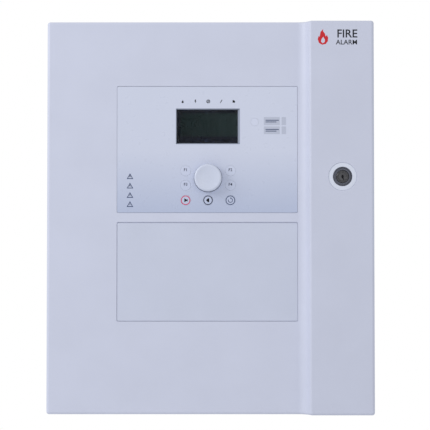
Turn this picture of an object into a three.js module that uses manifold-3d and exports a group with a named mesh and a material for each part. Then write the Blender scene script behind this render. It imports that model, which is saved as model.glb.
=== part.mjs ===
// Fire alarm control panel: a steel wall box, closed by a hinged plastic cover that carries the controls.
// Frame: +Z up, the front faces -Y, and the origin is the middle of the box's back face, on the wall.
// Depths are distances out from the wall, so a depth d lies at y = -d. All sizes are in millimetres.
import * as THREE from "three";
import { mergeVertices } from "three/addons/utils/BufferGeometryUtils.js";
import Module from "manifold-3d";

// ---------------------------------------------------------------- driving dimensions

const GAP = 0.3; // kept between pieces that touch
const SHEET = 1.5; // steel sheet of the box and its brackets
const BOARD = 1.6; // printed circuit boards

const COVER = { width: 372, height: 447, wall: 2.5, face: 99, back: 30, corner: 3.5, end: 3 };
const BAND = { width: 70.5, raise: 11, slope: 58, foot: 12 }; // the raised strip that holds the lock
const BOX = { inset: 16, front: 7.5, lip: 8 }; // inset from the cover, and gap behind the cover's wall
const KNOCKOUT = { radius: 10, depth: 0.5, pitch: 38, count: 8, fromWall: 16 };
const KEYHOLE = { radius: 6, slot: 2.6, drop: 10, x: 128, z: 182 };

const HINGE = { fromSkirt: 5, ahead: 4, pin: 2, ear: 4.4, tab: 3, lug: 8, z: 150 };
const LOCK = { fromEdge: 36, z: 46, head: 10.75, barrel: 8, plug: 7.2, core: 5.2 };
const DISH = { radius: 16.2, sink: 1.8, boss: 3.5 }; // the hollow round the lock's head
const CAM = { length: 16, width: 13, thick: 2, depth: 82 };

const POCKET = { depth: 1.3, side: 0.5, radius: 1.5 }; // seats in the cover's face for the film and the blank
const FILM = { width: 206, height: 144.6, thick: 0.8, fromBandFoot: 0.2, fromTop: 73.8 };
const BLANK = { height: 112.9, below: 10.5, thick: 1, ledge: 5, hook: 24 };
const WINDOW = { width: 73, height: 40.8, slope: 1.6, x: 0.65, z: 98.8 }; // x and z as for the dial
const LENS = { margin: 3.5, thick: 1.5 };
const DISPLAY = { thick: 2.4, frame: 8, boardMargin: 11 };

const DIAL = { radius: 15.7, gap: 0.6, proud: 9, roof: 2.6, wall: 2, hub: 5, shaft: 3, press: 0.6 };
const DIAL_AT = { x: 0.8, z: 39.8 }; // from the middle of the film's bottom edge
const KEY = { radius: 5.8, gap: 0.35, proud: 0.1, flange: 1.6, flangeThick: 1, stem: 2.5, travel: 0.4 };
const KEYS = { beside: 9.8, below: 9.7, upper: 8.2, lower: -8.4, auxX: 53.2, auxZ: 64, auxRadius: 4.4 };
const UI = { margin: 6, post: 3.6, hole: 1.6, spacing: 9.4, corner: 12, switch: 4.1 };

const MAIN = { width: 218, height: 204, overFilm: 106.9, fromSide: 8.5, stud: 12, studRadius: 3, corner: 7 };
const TERMINAL = { height: 12, deep: 13, span: 96 };
const PSU = { width: 95, height: 152, underMain: 50, fromSide: 6, front: 45, wall: 1.2, board: 10 };
const MAINS = { width: 48, height: 20, deep: 20, above: 12 };
const FUSE = { radius: 7, deep: 28, beside: 14 };
const EARTH = { fromSide: 28, overMain: 8, stud: 2, flange: 5, length: 18 };
const BATTERY = { width: 151, height: 94, deep: 65, apart: 4, tab: 6 };
const STRAP = { height: 24, beside: 3, foot: 10, z: 40 };
const WIRE = { thin: 1.6, mains: 2.6 };
const RIBBON = { width: 28, thick: 0.9, overFilm: 30.9 };
const SCREW = { head: 2.8, headThick: 2, shank: 1.3, length: 6 };
const BUZZER = { radius: 6, height: 8 };

// ---------------------------------------------------------------- places that follow from them

const half = { w: COVER.width / 2, h: COVER.height / 2 };
const inside = COVER.face - COVER.wall; // depth of the cover's inner face behind the main face
const bandFace = COVER.face + BAND.raise;
const bandLeft = half.w - BAND.width;

const slope = THREE.MathUtils.degToRad(BAND.slope);
const arcs = (BAND.foot + COVER.corner) * (1 - Math.cos(slope));
const ramp = Math.max(0, (BAND.raise - arcs) / Math.sin(slope));
const bandFoot = bandLeft - (BAND.foot + COVER.corner) * Math.sin(slope) - ramp * Math.cos(slope);

const box = { w: half.w - BOX.inset, h: half.h - BOX.inset, depth: inside - BOX.front };
const room = { w: box.w - SHEET, h: box.h - SHEET };

const film = { right: bandFoot - FILM.fromBandFoot, top: half.h - FILM.fromTop };
film.left = film.right - FILM.width;
film.bottom = film.top - FILM.height;
film.x = (film.left + film.right) / 2;
film.back = COVER.face - POCKET.depth + GAP;
film.front = film.back + FILM.thick;
const blank = { top: film.bottom - BLANK.below };
blank.bottom = blank.top - BLANK.height;

const dial = { x: film.x + DIAL_AT.x, z: film.bottom + DIAL_AT.z };
const display = { x: film.x + WINDOW.x, z: film.bottom + WINDOW.z };
const boardFront = inside - UI.spacing;
const boardBack = boardFront - BOARD;

const hinge = { x: -half.w + COVER.wall + HINGE.fromSkirt, d: COVER.back + HINGE.ahead };
const lock = { x: half.w - LOCK.fromEdge, z: LOCK.z, floor: bandFace - DISH.sink };

const main = { right: room.w - MAIN.fromSide, top: film.bottom + MAIN.overFilm, back: MAIN.stud + GAP };
main.left = main.right - MAIN.width;
main.bottom = main.top - MAIN.height;
main.front = main.back + BOARD;
const psu = { left: -room.w + PSU.fromSide, top: main.top - PSU.underMain };
psu.right = psu.left + PSU.width;
psu.bottom = psu.top - PSU.height;
const earth = { x: -room.w + EARTH.fromSide, z: main.top + EARTH.overMain };
const batteryFloor = -room.h + GAP;
const batteryBack = SHEET + 1.5;

// ---------------------------------------------------------------- solids

const wasm = await Module();
wasm.setup();

/** A closed geometry as a manifold-3d solid. */
function toSolid(geometry) {
  const bare = geometry.clone();
  bare.deleteAttribute("normal");
  bare.deleteAttribute("uv");
  const merged = mergeVertices(bare, 1e-4);
  const vertProperties = merged.attributes.position.array;
  const triVerts = new Uint32Array(merged.index.array);
  return new wasm.Manifold(new wasm.Mesh({ numProp: 3, vertProperties, triVerts }));
}

/** A manifold-3d solid as a geometry. */
function toGeometry(solid) {
  const mesh = solid.getMesh();
  const geometry = new THREE.BufferGeometry();
  geometry.setAttribute("position", new THREE.BufferAttribute(mesh.vertProperties, 3));
  geometry.setIndex(new THREE.BufferAttribute(mesh.triVerts, 1));
  geometry.computeVertexNormals();
  return geometry;
}

const join = (...pieces) => toGeometry(pieces.map(toSolid).reduce((a, b) => a.add(b)));
const cut = (base, ...tools) => toGeometry(tools.map(toSolid).reduce((a, b) => a.subtract(b), toSolid(base)));

/** A box between two x, two depths and two heights. */
function block([x0, x1], [d0, d1], [z0, z1]) {
  const geometry = new THREE.BoxGeometry(x1 - x0, d1 - d0, z1 - z0);
  return geometry.translate((x0 + x1) / 2, -(d0 + d1) / 2, (z0 + z1) / 2);
}

/** A round bar that runs out from the wall. */
function disc(x, z, radius, [d0, d1], sides = 16) {
  return new THREE.CylinderGeometry(radius, radius, d1 - d0, sides).translate(x, -(d0 + d1) / 2, z);
}

/** An upright round bar. */
function post(x, d, radius, [z0, z1], sides = 12) {
  const bar = new THREE.CylinderGeometry(radius, radius, z1 - z0, sides).rotateX(Math.PI / 2);
  return bar.translate(x, -d, (z0 + z1) / 2);
}

/** A front-view outline, given thickness between two depths. */
function prism(shape, [d0, d1], curveSegments = 3) {
  const geometry = new THREE.ExtrudeGeometry(shape, { depth: d1 - d0, bevelEnabled: false, curveSegments });
  return geometry.rotateX(Math.PI / 2).translate(0, -d0, 0);
}

/** A plan-view outline of x and y, given height between two z. */
function column(shape, [z0, z1]) {
  const geometry = new THREE.ExtrudeGeometry(shape, { depth: z1 - z0, bevelEnabled: false });
  return geometry.translate(0, 0, z0);
}

/** A piece turned about an axis that runs out from the wall. Its profile is radius and depth, front first. */
function turned(x, z, profile, sides = 24) {
  const points = profile.map(([radius, d]) => new THREE.Vector2(radius, -d));
  const counterClockwise = THREE.ShapeUtils.area(points) > 0;
  return new THREE.LatheGeometry(counterClockwise ? points : points.reverse(), sides).translate(x, 0, z);
}

/** A rectangle with rounded corners, in front view. */
function rounded(x0, x1, z0, z1, r) {
  const shape = new THREE.Shape();
  shape.absarc(x1 - r, z1 - r, r, 0, Math.PI / 2);
  shape.absarc(x0 + r, z1 - r, r, Math.PI / 2, Math.PI);
  shape.absarc(x0 + r, z0 + r, r, Math.PI, 1.5 * Math.PI);
  shape.absarc(x1 - r, z0 + r, r, 1.5 * Math.PI, 2 * Math.PI);
  return shape;
}

/** A frustum with rectangular ends, from a larger front opening to a smaller back one. */
function funnel(x, z, width, height, taper, [d0, d1]) {
  const ends = [[d0, taper], [d1, 0]];
  const rings = ends.map(([d, t]) => {
    const [w, h] = [width / 2 - t, height / 2 - t];
    return [[-w, -h], [w, -h], [w, h], [-w, h]].map(([dx, dz]) => new THREE.Vector3(x + dx, -d, z + dz));
  });
  return loft(rings, (p) => new THREE.Vector2(p.x, p.z));
}

/** A skin over rings of points, with flat ends. flat gives a point's place in the plane of the ends. */
function loft(rings, flat) {
  const count = rings[0].length;
  const index = [];
  for (let k = 0; k + 1 < rings.length; k++) {
    for (let i = 0; i < count; i++) {
      const j = (i + 1) % count;
      const [a, b, c, d] = [k * count + i, k * count + j, (k + 1) * count + j, (k + 1) * count + i];
      index.push(a, b, c, a, c, d);
    }
  }
  const last = (rings.length - 1) * count;
  for (const [a, b, c] of THREE.ShapeUtils.triangulateShape(rings[0].map(flat), [])) index.push(a, c, b);
  for (const [a, b, c] of THREE.ShapeUtils.triangulateShape(rings.at(-1).map(flat), [])) {
    index.push(last + a, last + b, last + c);
  }
  return new THREE.BufferGeometry().setFromPoints(rings.flat()).setIndex(index);
}

/** A lead along points of x, depth and z, with eight sides. */
function lead(points, radius, steps) {
  const path = new THREE.CatmullRomCurve3(points.map(([x, d, z]) => new THREE.Vector3(x, -d, z)));
  const section = new THREE.Shape().absarc(0, 0, radius, 0, 2 * Math.PI);
  const options = { steps, extrudePath: path, bevelEnabled: false, curveSegments: 4 };
  return new THREE.ExtrudeGeometry(section, options);
}

/** A screw whose head faces the room when outward is 1, and the wall when it is -1. */
function screw(x, z, seat, outward) {
  const head = [seat, seat + outward * SCREW.headThick].sort((a, b) => a - b);
  const shank = [seat + outward * 0.5, seat - outward * SCREW.length].sort((a, b) => a - b);
  return join(disc(x, z, SCREW.head, head, 12), disc(x, z, SCREW.shank, shank, 8));
}

// ---------------------------------------------------------------- materials

const paint = (color, roughness, metalness = 0) =>
  new THREE.MeshStandardMaterial({ color, roughness, metalness });
const FINISH = {
  coverPlastic: paint(0xc6ccde, 0.45),
  boxPaint: paint(0xdfe2e6, 0.5),
  zinc: paint(0xb4b7bb, 0.35, 1),
  film: paint(0xc5ccdc, 0.35),
  key: paint(0xc9cfdf, 0.4),
  knob: paint(0xc3cadc, 0.3),
  lens: new THREE.MeshStandardMaterial({ color: 0xf4f7fa, roughness: 0.05, transparent: true, opacity: 0.3 }),
  liquidCrystal: paint(0x26302f, 0.15),
  board: paint(0x1f5a34, 0.5),
  black: paint(0x17181a, 0.5),
  grey: paint(0x6d7278, 0.55),
  green: paint(0x3f8f4a, 0.5),
  darkChrome: paint(0x55565a, 0.25, 1),
  brass: paint(0xb8954f, 0.35, 1),
  red: paint(0xb3232a, 0.5),
  earth: paint(0x6fa331, 0.5),
};

/** Adds a named piece to a group. */
function place(group, name, geometry, material) {
  const mesh = new THREE.Mesh(geometry, material);
  mesh.name = name;
  group.add(mesh);
}

// ---------------------------------------------------------------- steel box

/** The corners of the main board, where its studs stand. */
const mainCorners = [main.left + MAIN.corner, main.right - MAIN.corner].flatMap((x) =>
  [main.bottom + MAIN.corner, main.top - MAIN.corner].map((z) => [x, z]),
);

function knockouts() {
  const first = (-KNOCKOUT.pitch * (KNOCKOUT.count - 1)) / 2;
  return Array.from({ length: KNOCKOUT.count }, (_, i) => first + i * KNOCKOUT.pitch).flatMap((x) => [
    post(x, KNOCKOUT.fromWall, KNOCKOUT.radius, [box.h - KNOCKOUT.depth, box.h + 1]),
    disc(x, box.h - KNOCKOUT.pitch / 2, KNOCKOUT.radius * 0.75, [-1, KNOCKOUT.depth], 12),
  ]);
}

/** Four fixing holes: the upper two are keyholes that hang on their screws. */
function fixings() {
  const holes = [];
  for (const x of [-KEYHOLE.x, KEYHOLE.x]) {
    holes.push(disc(x, KEYHOLE.z - KEYHOLE.drop - BOX.lip - 10, KEYHOLE.radius, [-1, SHEET + 1], 16));
    const slot = [KEYHOLE.z - KEYHOLE.drop - BOX.lip - 10, KEYHOLE.z - BOX.lip - 10];
    holes.push(block([x - KEYHOLE.slot, x + KEYHOLE.slot], [-1, SHEET + 1], slot));
    holes.push(disc(x, -KEYHOLE.z, KEYHOLE.slot, [-1, SHEET + 1], 16));
  }
  return holes;
}

function backBox() {
  const shell = cut(
    block([-box.w, box.w], [0, box.depth], [-box.h, box.h]),
    block([-room.w, room.w], [SHEET, box.depth - SHEET], [-room.h, room.h]),
    block([BOX.lip - box.w, box.w - BOX.lip], [SHEET, box.depth + 1], [BOX.lip - box.h, box.h - BOX.lip]),
    ...knockouts(),
    ...fixings(),
  );
  const studs = mainCorners.map(([x, z]) => disc(x, z, MAIN.studRadius, [SHEET - 0.5, MAIN.stud], 12));
  const bore = [MAIN.stud - SCREW.length, MAIN.stud + 1];
  const threads = mainCorners.map(([x, z]) => disc(x, z, UI.hole, bore, 8));
  return cut(join(shell, ...studs), ...threads);
}

/** An angle on the box's side whose tab carries a hinge pin, cut away where the open cover's edge swings. */
function hingeBracket(z) {
  const side = -box.w - GAP;
  const tab = join(
    block([side - SHEET, side], [hinge.d - 12, hinge.d + 12], [z - 12, z + 12]),
    block([hinge.x, side], [hinge.d - 1, hinge.d + HINGE.ear], [z - HINGE.tab, z]),
    post(hinge.x, hinge.d, HINGE.ear, [z - HINGE.tab, z]),
  );
  return cut(tab, post(hinge.x, hinge.d, HINGE.pin + GAP, [z - HINGE.tab - 1, z + 1]));
}

/** A hinge pin with a head under its tab. */
function hingePin(z) {
  const foot = z - HINGE.tab - GAP;
  return join(
    post(hinge.x, hinge.d, HINGE.pin, [foot - 0.5, z + HINGE.lug + 2]),
    post(hinge.x, hinge.d, HINGE.pin + 1.2, [foot - 1.5, foot]),
  );
}

/** The plate that the lock's cam turns behind. */
function lockKeeper() {
  const side = room.w - GAP;
  const lip = CAM.depth + CAM.thick + 1;
  return join(
    block([side - SHEET, side], [lip - 26, lip + SHEET], [lock.z - 20, lock.z + 20]),
    block([lock.x + LOCK.barrel + 1.4, side], [lip, lip + SHEET], [lock.z - 16, lock.z + 16]),
  );
}

// ---------------------------------------------------------------- cover

/** The cover's plan outline, moved in from its surface by inset, as x and y. */
function coverOutline(inset, back) {
  const points = [];
  const arc = (cx, d, radius, from, to, steps, sign) => {
    for (let i = 0; i <= steps; i++) {
      const a = THREE.MathUtils.degToRad(from + ((to - from) * i) / steps);
      const r = sign > 0 ? radius - inset : -(radius + inset);
      points.push(new THREE.Vector2(cx + r * Math.cos(a), -d + r * Math.sin(a)));
    }
  };
  const c = COVER.corner;
  const lean = 270 - BAND.slope;
  points.push(new THREE.Vector2(-half.w + inset, -back));
  arc(-half.w + c, COVER.face - c, c, 180, 270, 4, 1);
  arc(bandFoot, COVER.face + BAND.foot, BAND.foot, 270, lean, 5, -1);
  arc(bandLeft, bandFace - c, c, lean, 270, 3, 1);
  arc(half.w - c, bandFace - c, c, 270, 360, 4, 1);
  points.push(new THREE.Vector2(half.w - inset, -back));
  return points;
}

/** The cover's solid outer form, with its top and bottom edges rounded. */
function coverForm() {
  const steps = 4;
  const ring = (end, i) => {
    const a = (Math.PI / 2) * (i / steps);
    const z = end * (half.h - COVER.end * (1 - Math.sin(a)));
    return coverOutline(COVER.end * (1 - Math.cos(a)), COVER.back).map((p) => new THREE.Vector3(p.x, p.y, z));
  };
  const order = Array.from({ length: steps + 1 }, (_, i) => i);
  const rings = [...[...order].reverse().map((i) => ring(-1, i)), ...order.map((i) => ring(1, i))];
  return loft(rings, (p) => new THREE.Vector2(p.x, p.y));
}

/** Every key's name, place from the dial and radius. */
const keySide = DIAL.radius + KEYS.beside;
const keyRow = -DIAL.radius - KEYS.below;
const keys = [
  ["key_f1", -keySide, KEYS.upper, KEY.radius],
  ["key_f2", keySide, KEYS.upper, KEY.radius],
  ["key_f3", -keySide, KEYS.lower, KEY.radius],
  ["key_f4", keySide, KEYS.lower, KEY.radius],
  ["key_start", -keySide, keyRow, KEY.radius],
  ["key_silence", 0, keyRow, KEY.radius],
  ["key_reset", keySide, keyRow, KEY.radius],
  ["key_delay", KEYS.auxX, KEYS.auxZ, KEYS.auxRadius],
].map(([name, dx, dz, radius]) => ({ name, x: dial.x + dx, z: dial.z + dz, radius }));

/** Round holes for the keys and the dial between two depths. */
const controlHoles = (depths) => [
  ...keys.map((k) => disc(k.x, k.z, k.radius + KEY.gap, depths)),
  disc(dial.x, dial.z, DIAL.radius + DIAL.gap, depths, 24),
];

/** The four posts that hold the user interface board. */
const uiCorners = [film.left + UI.corner, film.right - UI.corner].flatMap((x) =>
  [film.bottom + UI.corner, film.top - UI.corner].map((z) => [x, z]),
);

function hingeLug(z) {
  const span = [z + GAP, z + GAP + HINGE.lug];
  return join(
    block([-half.w + 1, hinge.x], [hinge.d - HINGE.ear + 0.4, hinge.d + HINGE.ear], span),
    post(hinge.x, hinge.d, HINGE.ear, span),
  );
}

function doorCover() {
  const outline = new THREE.Shape(coverOutline(COVER.wall, COVER.back - 1));
  const cavity = column(outline, [COVER.wall - half.h, half.h - COVER.wall]);
  const seat = COVER.face - POCKET.depth;
  const recess = [seat, COVER.face + 1];
  const through = [inside - 1, COVER.face + 1];
  const shell = join(
    cut(coverForm(), cavity),
    hingeLug(HINGE.z),
    hingeLug(-HINGE.z),
    disc(lock.x, lock.z, DISH.radius, [bandFace - COVER.wall - DISH.boss, bandFace - COVER.wall + 0.5], 24),
    ...uiCorners.map(([x, z]) => disc(x, z, UI.post, [boardFront + GAP, inside + 0.5], 12)),
  );
  const dishSides = [[0, bandFace + 1], [DISH.radius + 2, bandFace + 1], [DISH.radius, bandFace]];
  const dish = [...dishSides, [LOCK.head + 0.6, lock.floor], [0, lock.floor]];
  const opening = { z0: blank.bottom + BLANK.ledge, z1: blank.top - BLANK.ledge };
  return cut(
    shell,
    prism(rounded(film.left, film.right, film.bottom, film.top, POCKET.radius), recess),
    prism(rounded(film.left, film.right, blank.bottom, blank.top, POCKET.radius), recess),
    block([film.left + BLANK.ledge, film.right - BLANK.ledge], through, [opening.z0, opening.z1]),
    funnel(display.x, display.z, WINDOW.width, WINDOW.height, WINDOW.slope, [inside, seat + 0.01]),
    block(
      [display.x - WINDOW.width / 2 + WINDOW.slope, display.x + WINDOW.width / 2 - WINDOW.slope],
      [inside - 1, inside + 0.2],
      [display.z - WINDOW.height / 2 + WINDOW.slope, display.z + WINDOW.height / 2 - WINDOW.slope],
    ),
    ...controlHoles([inside - 1, seat + 1]),
    turned(lock.x, lock.z, dish),
    disc(lock.x, lock.z, LOCK.barrel + GAP, [bandFace - 20, bandFace]),
    ...uiCorners.map(([x, z]) => disc(x, z, UI.hole, [boardFront - 1, boardFront + SCREW.length], 8)),
    ...[HINGE.z, -HINGE.z].map((z) => post(hinge.x, hinge.d, HINGE.pin + GAP, [z - 1, z + HINGE.lug + 2])),
  );
}

function overlayFilm() {
  const inset = POCKET.side;
  const sides = [film.left + inset, film.right - inset, film.bottom + inset, film.top - inset];
  const through = [film.back - 1, film.front + 1];
  const [w, h] = [WINDOW.width / 2, WINDOW.height / 2];
  return cut(
    prism(rounded(...sides, POCKET.radius), [film.back, film.front]),
    block([display.x - w, display.x + w], through, [display.z - h, display.z + h]),
    ...controlHoles(through),
  );
}

/** The plate that closes the lower opening, with hooks that clip behind its ledge. */
function blankPanel() {
  const inset = POCKET.side;
  const sides = [film.left + inset, film.right - inset, blank.bottom + inset, blank.top - inset];
  const plateBack = COVER.face - POCKET.depth + GAP;
  const hooks = [[blank.top - BLANK.ledge, 1], [blank.bottom + BLANK.ledge, -1]].flatMap(([edge, up]) =>
    [-FILM.width / 4, FILM.width / 4].flatMap((dx) => {
      const x = [film.x + dx - BLANK.hook / 2, film.x + dx + BLANK.hook / 2];
      const leg = [edge - up * GAP, edge - up * 2].sort((a, b) => a - b);
      const barb = [edge + up * 1.2, edge - up * 2].sort((a, b) => a - b);
      return [
        block(x, [inside - 2.6, plateBack + 0.4], leg),
        block(x, [inside - 2.6, inside - GAP], barb),
      ];
    }),
  );
  return join(prism(rounded(...sides, POCKET.radius), [plateBack, plateBack + BLANK.thick]), ...hooks);
}

// ---------------------------------------------------------------- display

const lens = { front: inside - GAP };
lens.back = lens.front - LENS.thick;
const glassFront = lens.back - GAP;
const [glassW, glassH] = [WINDOW.width / 2 - 1, WINDOW.height / 2 - 0.6];

/** A rectangle about the display's centre, given thickness between two depths. */
const panel = (w, h, depths) => block([display.x - w, display.x + w], depths, [display.z - h, display.z + h]);

function displayFrame() {
  const back = glassFront - DISPLAY.thick - 0.7;
  return cut(
    panel(glassW + DISPLAY.frame, glassH + DISPLAY.frame, [back, glassFront]),
    panel(glassW + GAP, glassH + GAP, [back + 0.4, glassFront + 1]),
  );
}

function displayBoard() {
  const front = glassFront - DISPLAY.thick - 0.7 - GAP;
  return panel(glassW + DISPLAY.boardMargin, glassH + DISPLAY.boardMargin, [front - BOARD, front]);
}

// ---------------------------------------------------------------- controls

/** A key cap with the flange that keeps it behind the cover and the stem that works its switch. */
function keyCap({ x, z, radius }) {
  const front = COVER.face + KEY.proud;
  const flange = inside - GAP;
  const stemEnd = boardFront + UI.switch + KEY.travel + GAP;
  return turned(x, z, [
    [0, front], [radius - 0.7, front], [radius, front - 0.5], [radius, flange],
    [radius + KEY.flange, flange], [radius + KEY.flange, flange - KEY.flangeThick],
    [KEY.stem, flange - KEY.flangeThick], [KEY.stem, stemEnd], [0, stemEnd],
  ], 16);
}

/** The user interface board with its soldered switches and cable socket. */
function uiBoard() {
  const span = [film.left + UI.margin, film.right - UI.margin];
  const height = [film.bottom + UI.margin, film.top - UI.margin];
  const switches = keys.map((k) =>
    block([k.x - 3, k.x + 3], [boardFront - 0.5, boardFront + UI.switch], [k.z - 3, k.z + 3]),
  );
  const socket = block([ribbon.end - 4, ribbon.end + 4], [boardBack - 6, boardBack + 0.5], ribbon.span);
  return cut(
    join(block(span, [boardBack, boardFront], height), ...switches, socket),
    ...uiCorners.map(([x, z]) => disc(x, z, SCREW.shank + GAP, [boardBack - 1, boardFront + 1], 12)),
  );
}

const encoder = { back: boardFront + GAP, top: boardFront + 6.9, bush: boardFront + 11.5 };

/** The rotary switch under the dial: a case with a bush, open at its front. */
function encoderBody() {
  const body = join(
    block([dial.x - 6.5, dial.x + 6.5], [encoder.back, encoder.top], [dial.z - 6.5, dial.z + 6.5]),
    disc(dial.x, dial.z, DIAL.shaft + 1.5, [encoder.top - 0.5, encoder.bush]),
  );
  return cut(body, disc(dial.x, dial.z, DIAL.shaft + GAP, [encoder.back + 1, encoder.bush + 1]));
}

const plunger = { back: encoder.back + 1 + DIAL.press + GAP };
plunger.front = plunger.back + 1.5;

function dialKnob() {
  const front = COVER.face + DIAL.proud;
  const back = inside - 0.5;
  const hubBack = encoder.bush + DIAL.press + GAP;
  const roof = front - DIAL.roof;
  const [r, bore] = [DIAL.radius, DIAL.shaft + GAP];
  return turned(dial.x, dial.z, [
    [0, front - 0.7], [r - 4, front - 0.35], [r - 2, front], [r - 0.9, front - 0.3], [r, front - 1.4],
    [r, back], [r - DIAL.wall, back], [r - DIAL.wall, roof], [DIAL.hub, roof], [DIAL.hub, hubBack],
    [bore, hubBack], [bore, roof], [0, roof],
  ]);
}

// ---------------------------------------------------------------- lock

/** The lock's fixed barrel, whose head sits in the cover's dish. */
function lockBarrel() {
  const seat = lock.floor + GAP;
  const head = seat + 1.3;
  const counterbore = LOCK.plug + GAP;
  const tail = CAM.depth + CAM.thick + 0.7;
  const bore = LOCK.core + GAP;
  return turned(lock.x, lock.z, [
    [LOCK.head - 0.6, head], [LOCK.head, head - 0.5], [LOCK.head, seat], [LOCK.barrel, seat],
    [LOCK.barrel, tail], [bore, tail], [bore, seat - 2], [counterbore, seat - 2],
    [counterbore, head - 0.4], [LOCK.plug + 1.2, head], [LOCK.head - 0.6, head],
  ]);
}

function lockPlug() {
  const front = lock.floor + 0.9;
  const step = lock.floor + GAP - 2 + GAP;
  const tail = CAM.depth + CAM.thick + GAP;
  const body = turned(lock.x, lock.z, [
    [0, front], [LOCK.plug - 0.4, front], [LOCK.plug, front - 0.4], [LOCK.plug, step], [LOCK.core, step],
    [LOCK.core, tail], [3, tail], [3, CAM.depth - 0.4], [0, CAM.depth - 0.4],
  ]);
  const keyway = [front - 5, front + 1];
  return cut(
    body,
    block([lock.x - 0.7, lock.x + 0.7], keyway, [lock.z - 1, lock.z + 3]),
    block([lock.x - 0.2, lock.x + 1.2], keyway, [lock.z - 3.4, lock.z - 0.6]),
    disc(lock.x, lock.z, SCREW.shank + GAP, [CAM.depth - 1, CAM.depth + 7], 12),
  );
}

/** The cam, which stands up when unlocked and turns to the right to lock. */
function lockCam() {
  const shape = new THREE.Shape();
  const r = CAM.width / 2;
  shape.absarc(lock.x, lock.z, r, Math.PI, 2 * Math.PI);
  shape.lineTo(lock.x + r, lock.z + CAM.length - 2);
  shape.lineTo(lock.x + r - 2, lock.z + CAM.length);
  shape.lineTo(lock.x - r + 2, lock.z + CAM.length);
  shape.lineTo(lock.x - r, lock.z + CAM.length - 2);
  const plate = prism(shape, [CAM.depth, CAM.depth + CAM.thick]);
  return cut(plate, disc(lock.x, lock.z, 3 + GAP, [CAM.depth - 1, CAM.depth + CAM.thick + 1], 16));
}

function lockNut() {
  const seat = bandFace - COVER.wall - DISH.boss - GAP;
  const nut = disc(lock.x, lock.z, LOCK.barrel + 4.6, [seat - 4, seat], 6);
  return cut(nut, disc(lock.x, lock.z, LOCK.barrel + GAP, [seat - 5, seat + 1]));
}

// ---------------------------------------------------------------- electronics in the box

const ribbon = { start: main.left + 8, end: film.left + 16.6 };
const ribbonZ = film.bottom + RIBBON.overFilm;
ribbon.span = [ribbonZ - RIBBON.width / 2, ribbonZ + RIBBON.width / 2];
ribbon.socket = [ribbon.span[0] - 1, ribbon.span[1] + 1];

/** Where the supply lead plugs into the main board. */
const supply = { x: main.left + 8, z: main.top - 40 };

function mainBoard() {
  const span = [main.left, main.right];
  const plug = (x, z, top) => block(x, [main.front - 0.5, main.front + top], z);
  return cut(
    join(
      block(span, [main.back, main.front], [main.bottom, main.top]),
      plug([ribbon.start - 4, ribbon.start + 4], ribbon.socket, 8),
      plug([supply.x - 6, supply.x + 6], [supply.z - 8, supply.z + 8], 9),
      plug([main.left + 14, main.left + 40], [main.bottom + 2, main.bottom + 12], 9),
      plug([main.left + 70, main.left + 98], [main.top - 122, main.top - 94], 3),
      plug([main.left + 130, main.left + 150], [main.top - 152, main.top - 132], 3),
    ),
    ...mainCorners.map(([x, z]) => disc(x, z, SCREW.shank + GAP, [main.back - 1, main.front + 1], 12)),
  );
}

/** A row of screw terminals along the top of the main board, starting at x. */
function terminals(x, span) {
  const back = main.front + GAP;
  const z1 = main.top - 1;
  const [deep, high] = [TERMINAL.deep, TERMINAL.height];
  const profile = [[0, 0], [deep, 0], [deep, 4], [deep - 4, high], [0, high]];
  const shape = new THREE.Shape(profile.map(([d, z]) => new THREE.Vector2(-back - d, z1 - high + z)));
  const bar = new THREE.ExtrudeGeometry(shape, { depth: span, bevelEnabled: false });
  // The outline's x and y become y and z, and its thickness runs along x.
  return bar.applyMatrix4(new THREE.Matrix4().makeBasis(
    new THREE.Vector3(0, 1, 0), new THREE.Vector3(0, 0, 1), new THREE.Vector3(1, 0, 0),
  )).translate(x, 0, 0);
}

function psuBoard() {
  const [x0, x1] = [psu.left + 4, psu.right - 4];
  const [z0, z1] = [psu.bottom + 4, psu.top - 4];
  const front = PSU.board + BOARD;
  return join(
    block([x0, x1], [PSU.board, front], [z0, z1]),
    ...[x0 + 5, x1 - 5].flatMap((x) => [z0 + 5, z1 - 5].map((z) => disc(x, z, 3, [SHEET + GAP, front], 12))),
    block([x0 + 12, x0 + 50], [front - 0.5, front + 26], [z0 + 50, z0 + 92]),
    disc(x0 + 66, z0 + 60, 9, [front - 0.5, front + 25], 20),
    disc(x0 + 66, z0 + 84, 9, [front - 0.5, front + 25], 20),
    block([x0 + 8, x0 + 74], [front - 0.5, front + 22], [z0 + 14, z0 + 18]),
  );
}

/** The vented lid over the power supply, with a mouth in its top for the leads. */
function psuCover() {
  const w = PSU.wall;
  const back = SHEET + GAP;
  const slots = [];
  for (let i = 0; i < 6; i++) {
    const z = psu.bottom + 22 + i * 21;
    slots.push(block([psu.left + 14, psu.right - 14], [PSU.front - 5, PSU.front + 1], [z, z + 4]));
  }
  return cut(
    block([psu.left, psu.right], [back, PSU.front], [psu.bottom, psu.top]),
    block([psu.left + w, psu.right - w], [back - 1, PSU.front - w], [psu.bottom + w, psu.top - w]),
    block([psu.left + 10, psu.right - 8], [14, 32], [psu.top - 5, psu.top + 1]),
    ...slots,
  );
}

const mains = { x: [psu.left + 2, psu.left + 2 + MAINS.width], z: psu.top + MAINS.above };

function earthStud() {
  const back = SHEET + GAP;
  return join(
    disc(earth.x, earth.z, EARTH.flange, [back, back + 1.2], 12),
    disc(earth.x, earth.z, EARTH.stud, [back + 0.5, back + EARTH.length], 8),
  );
}

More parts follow.
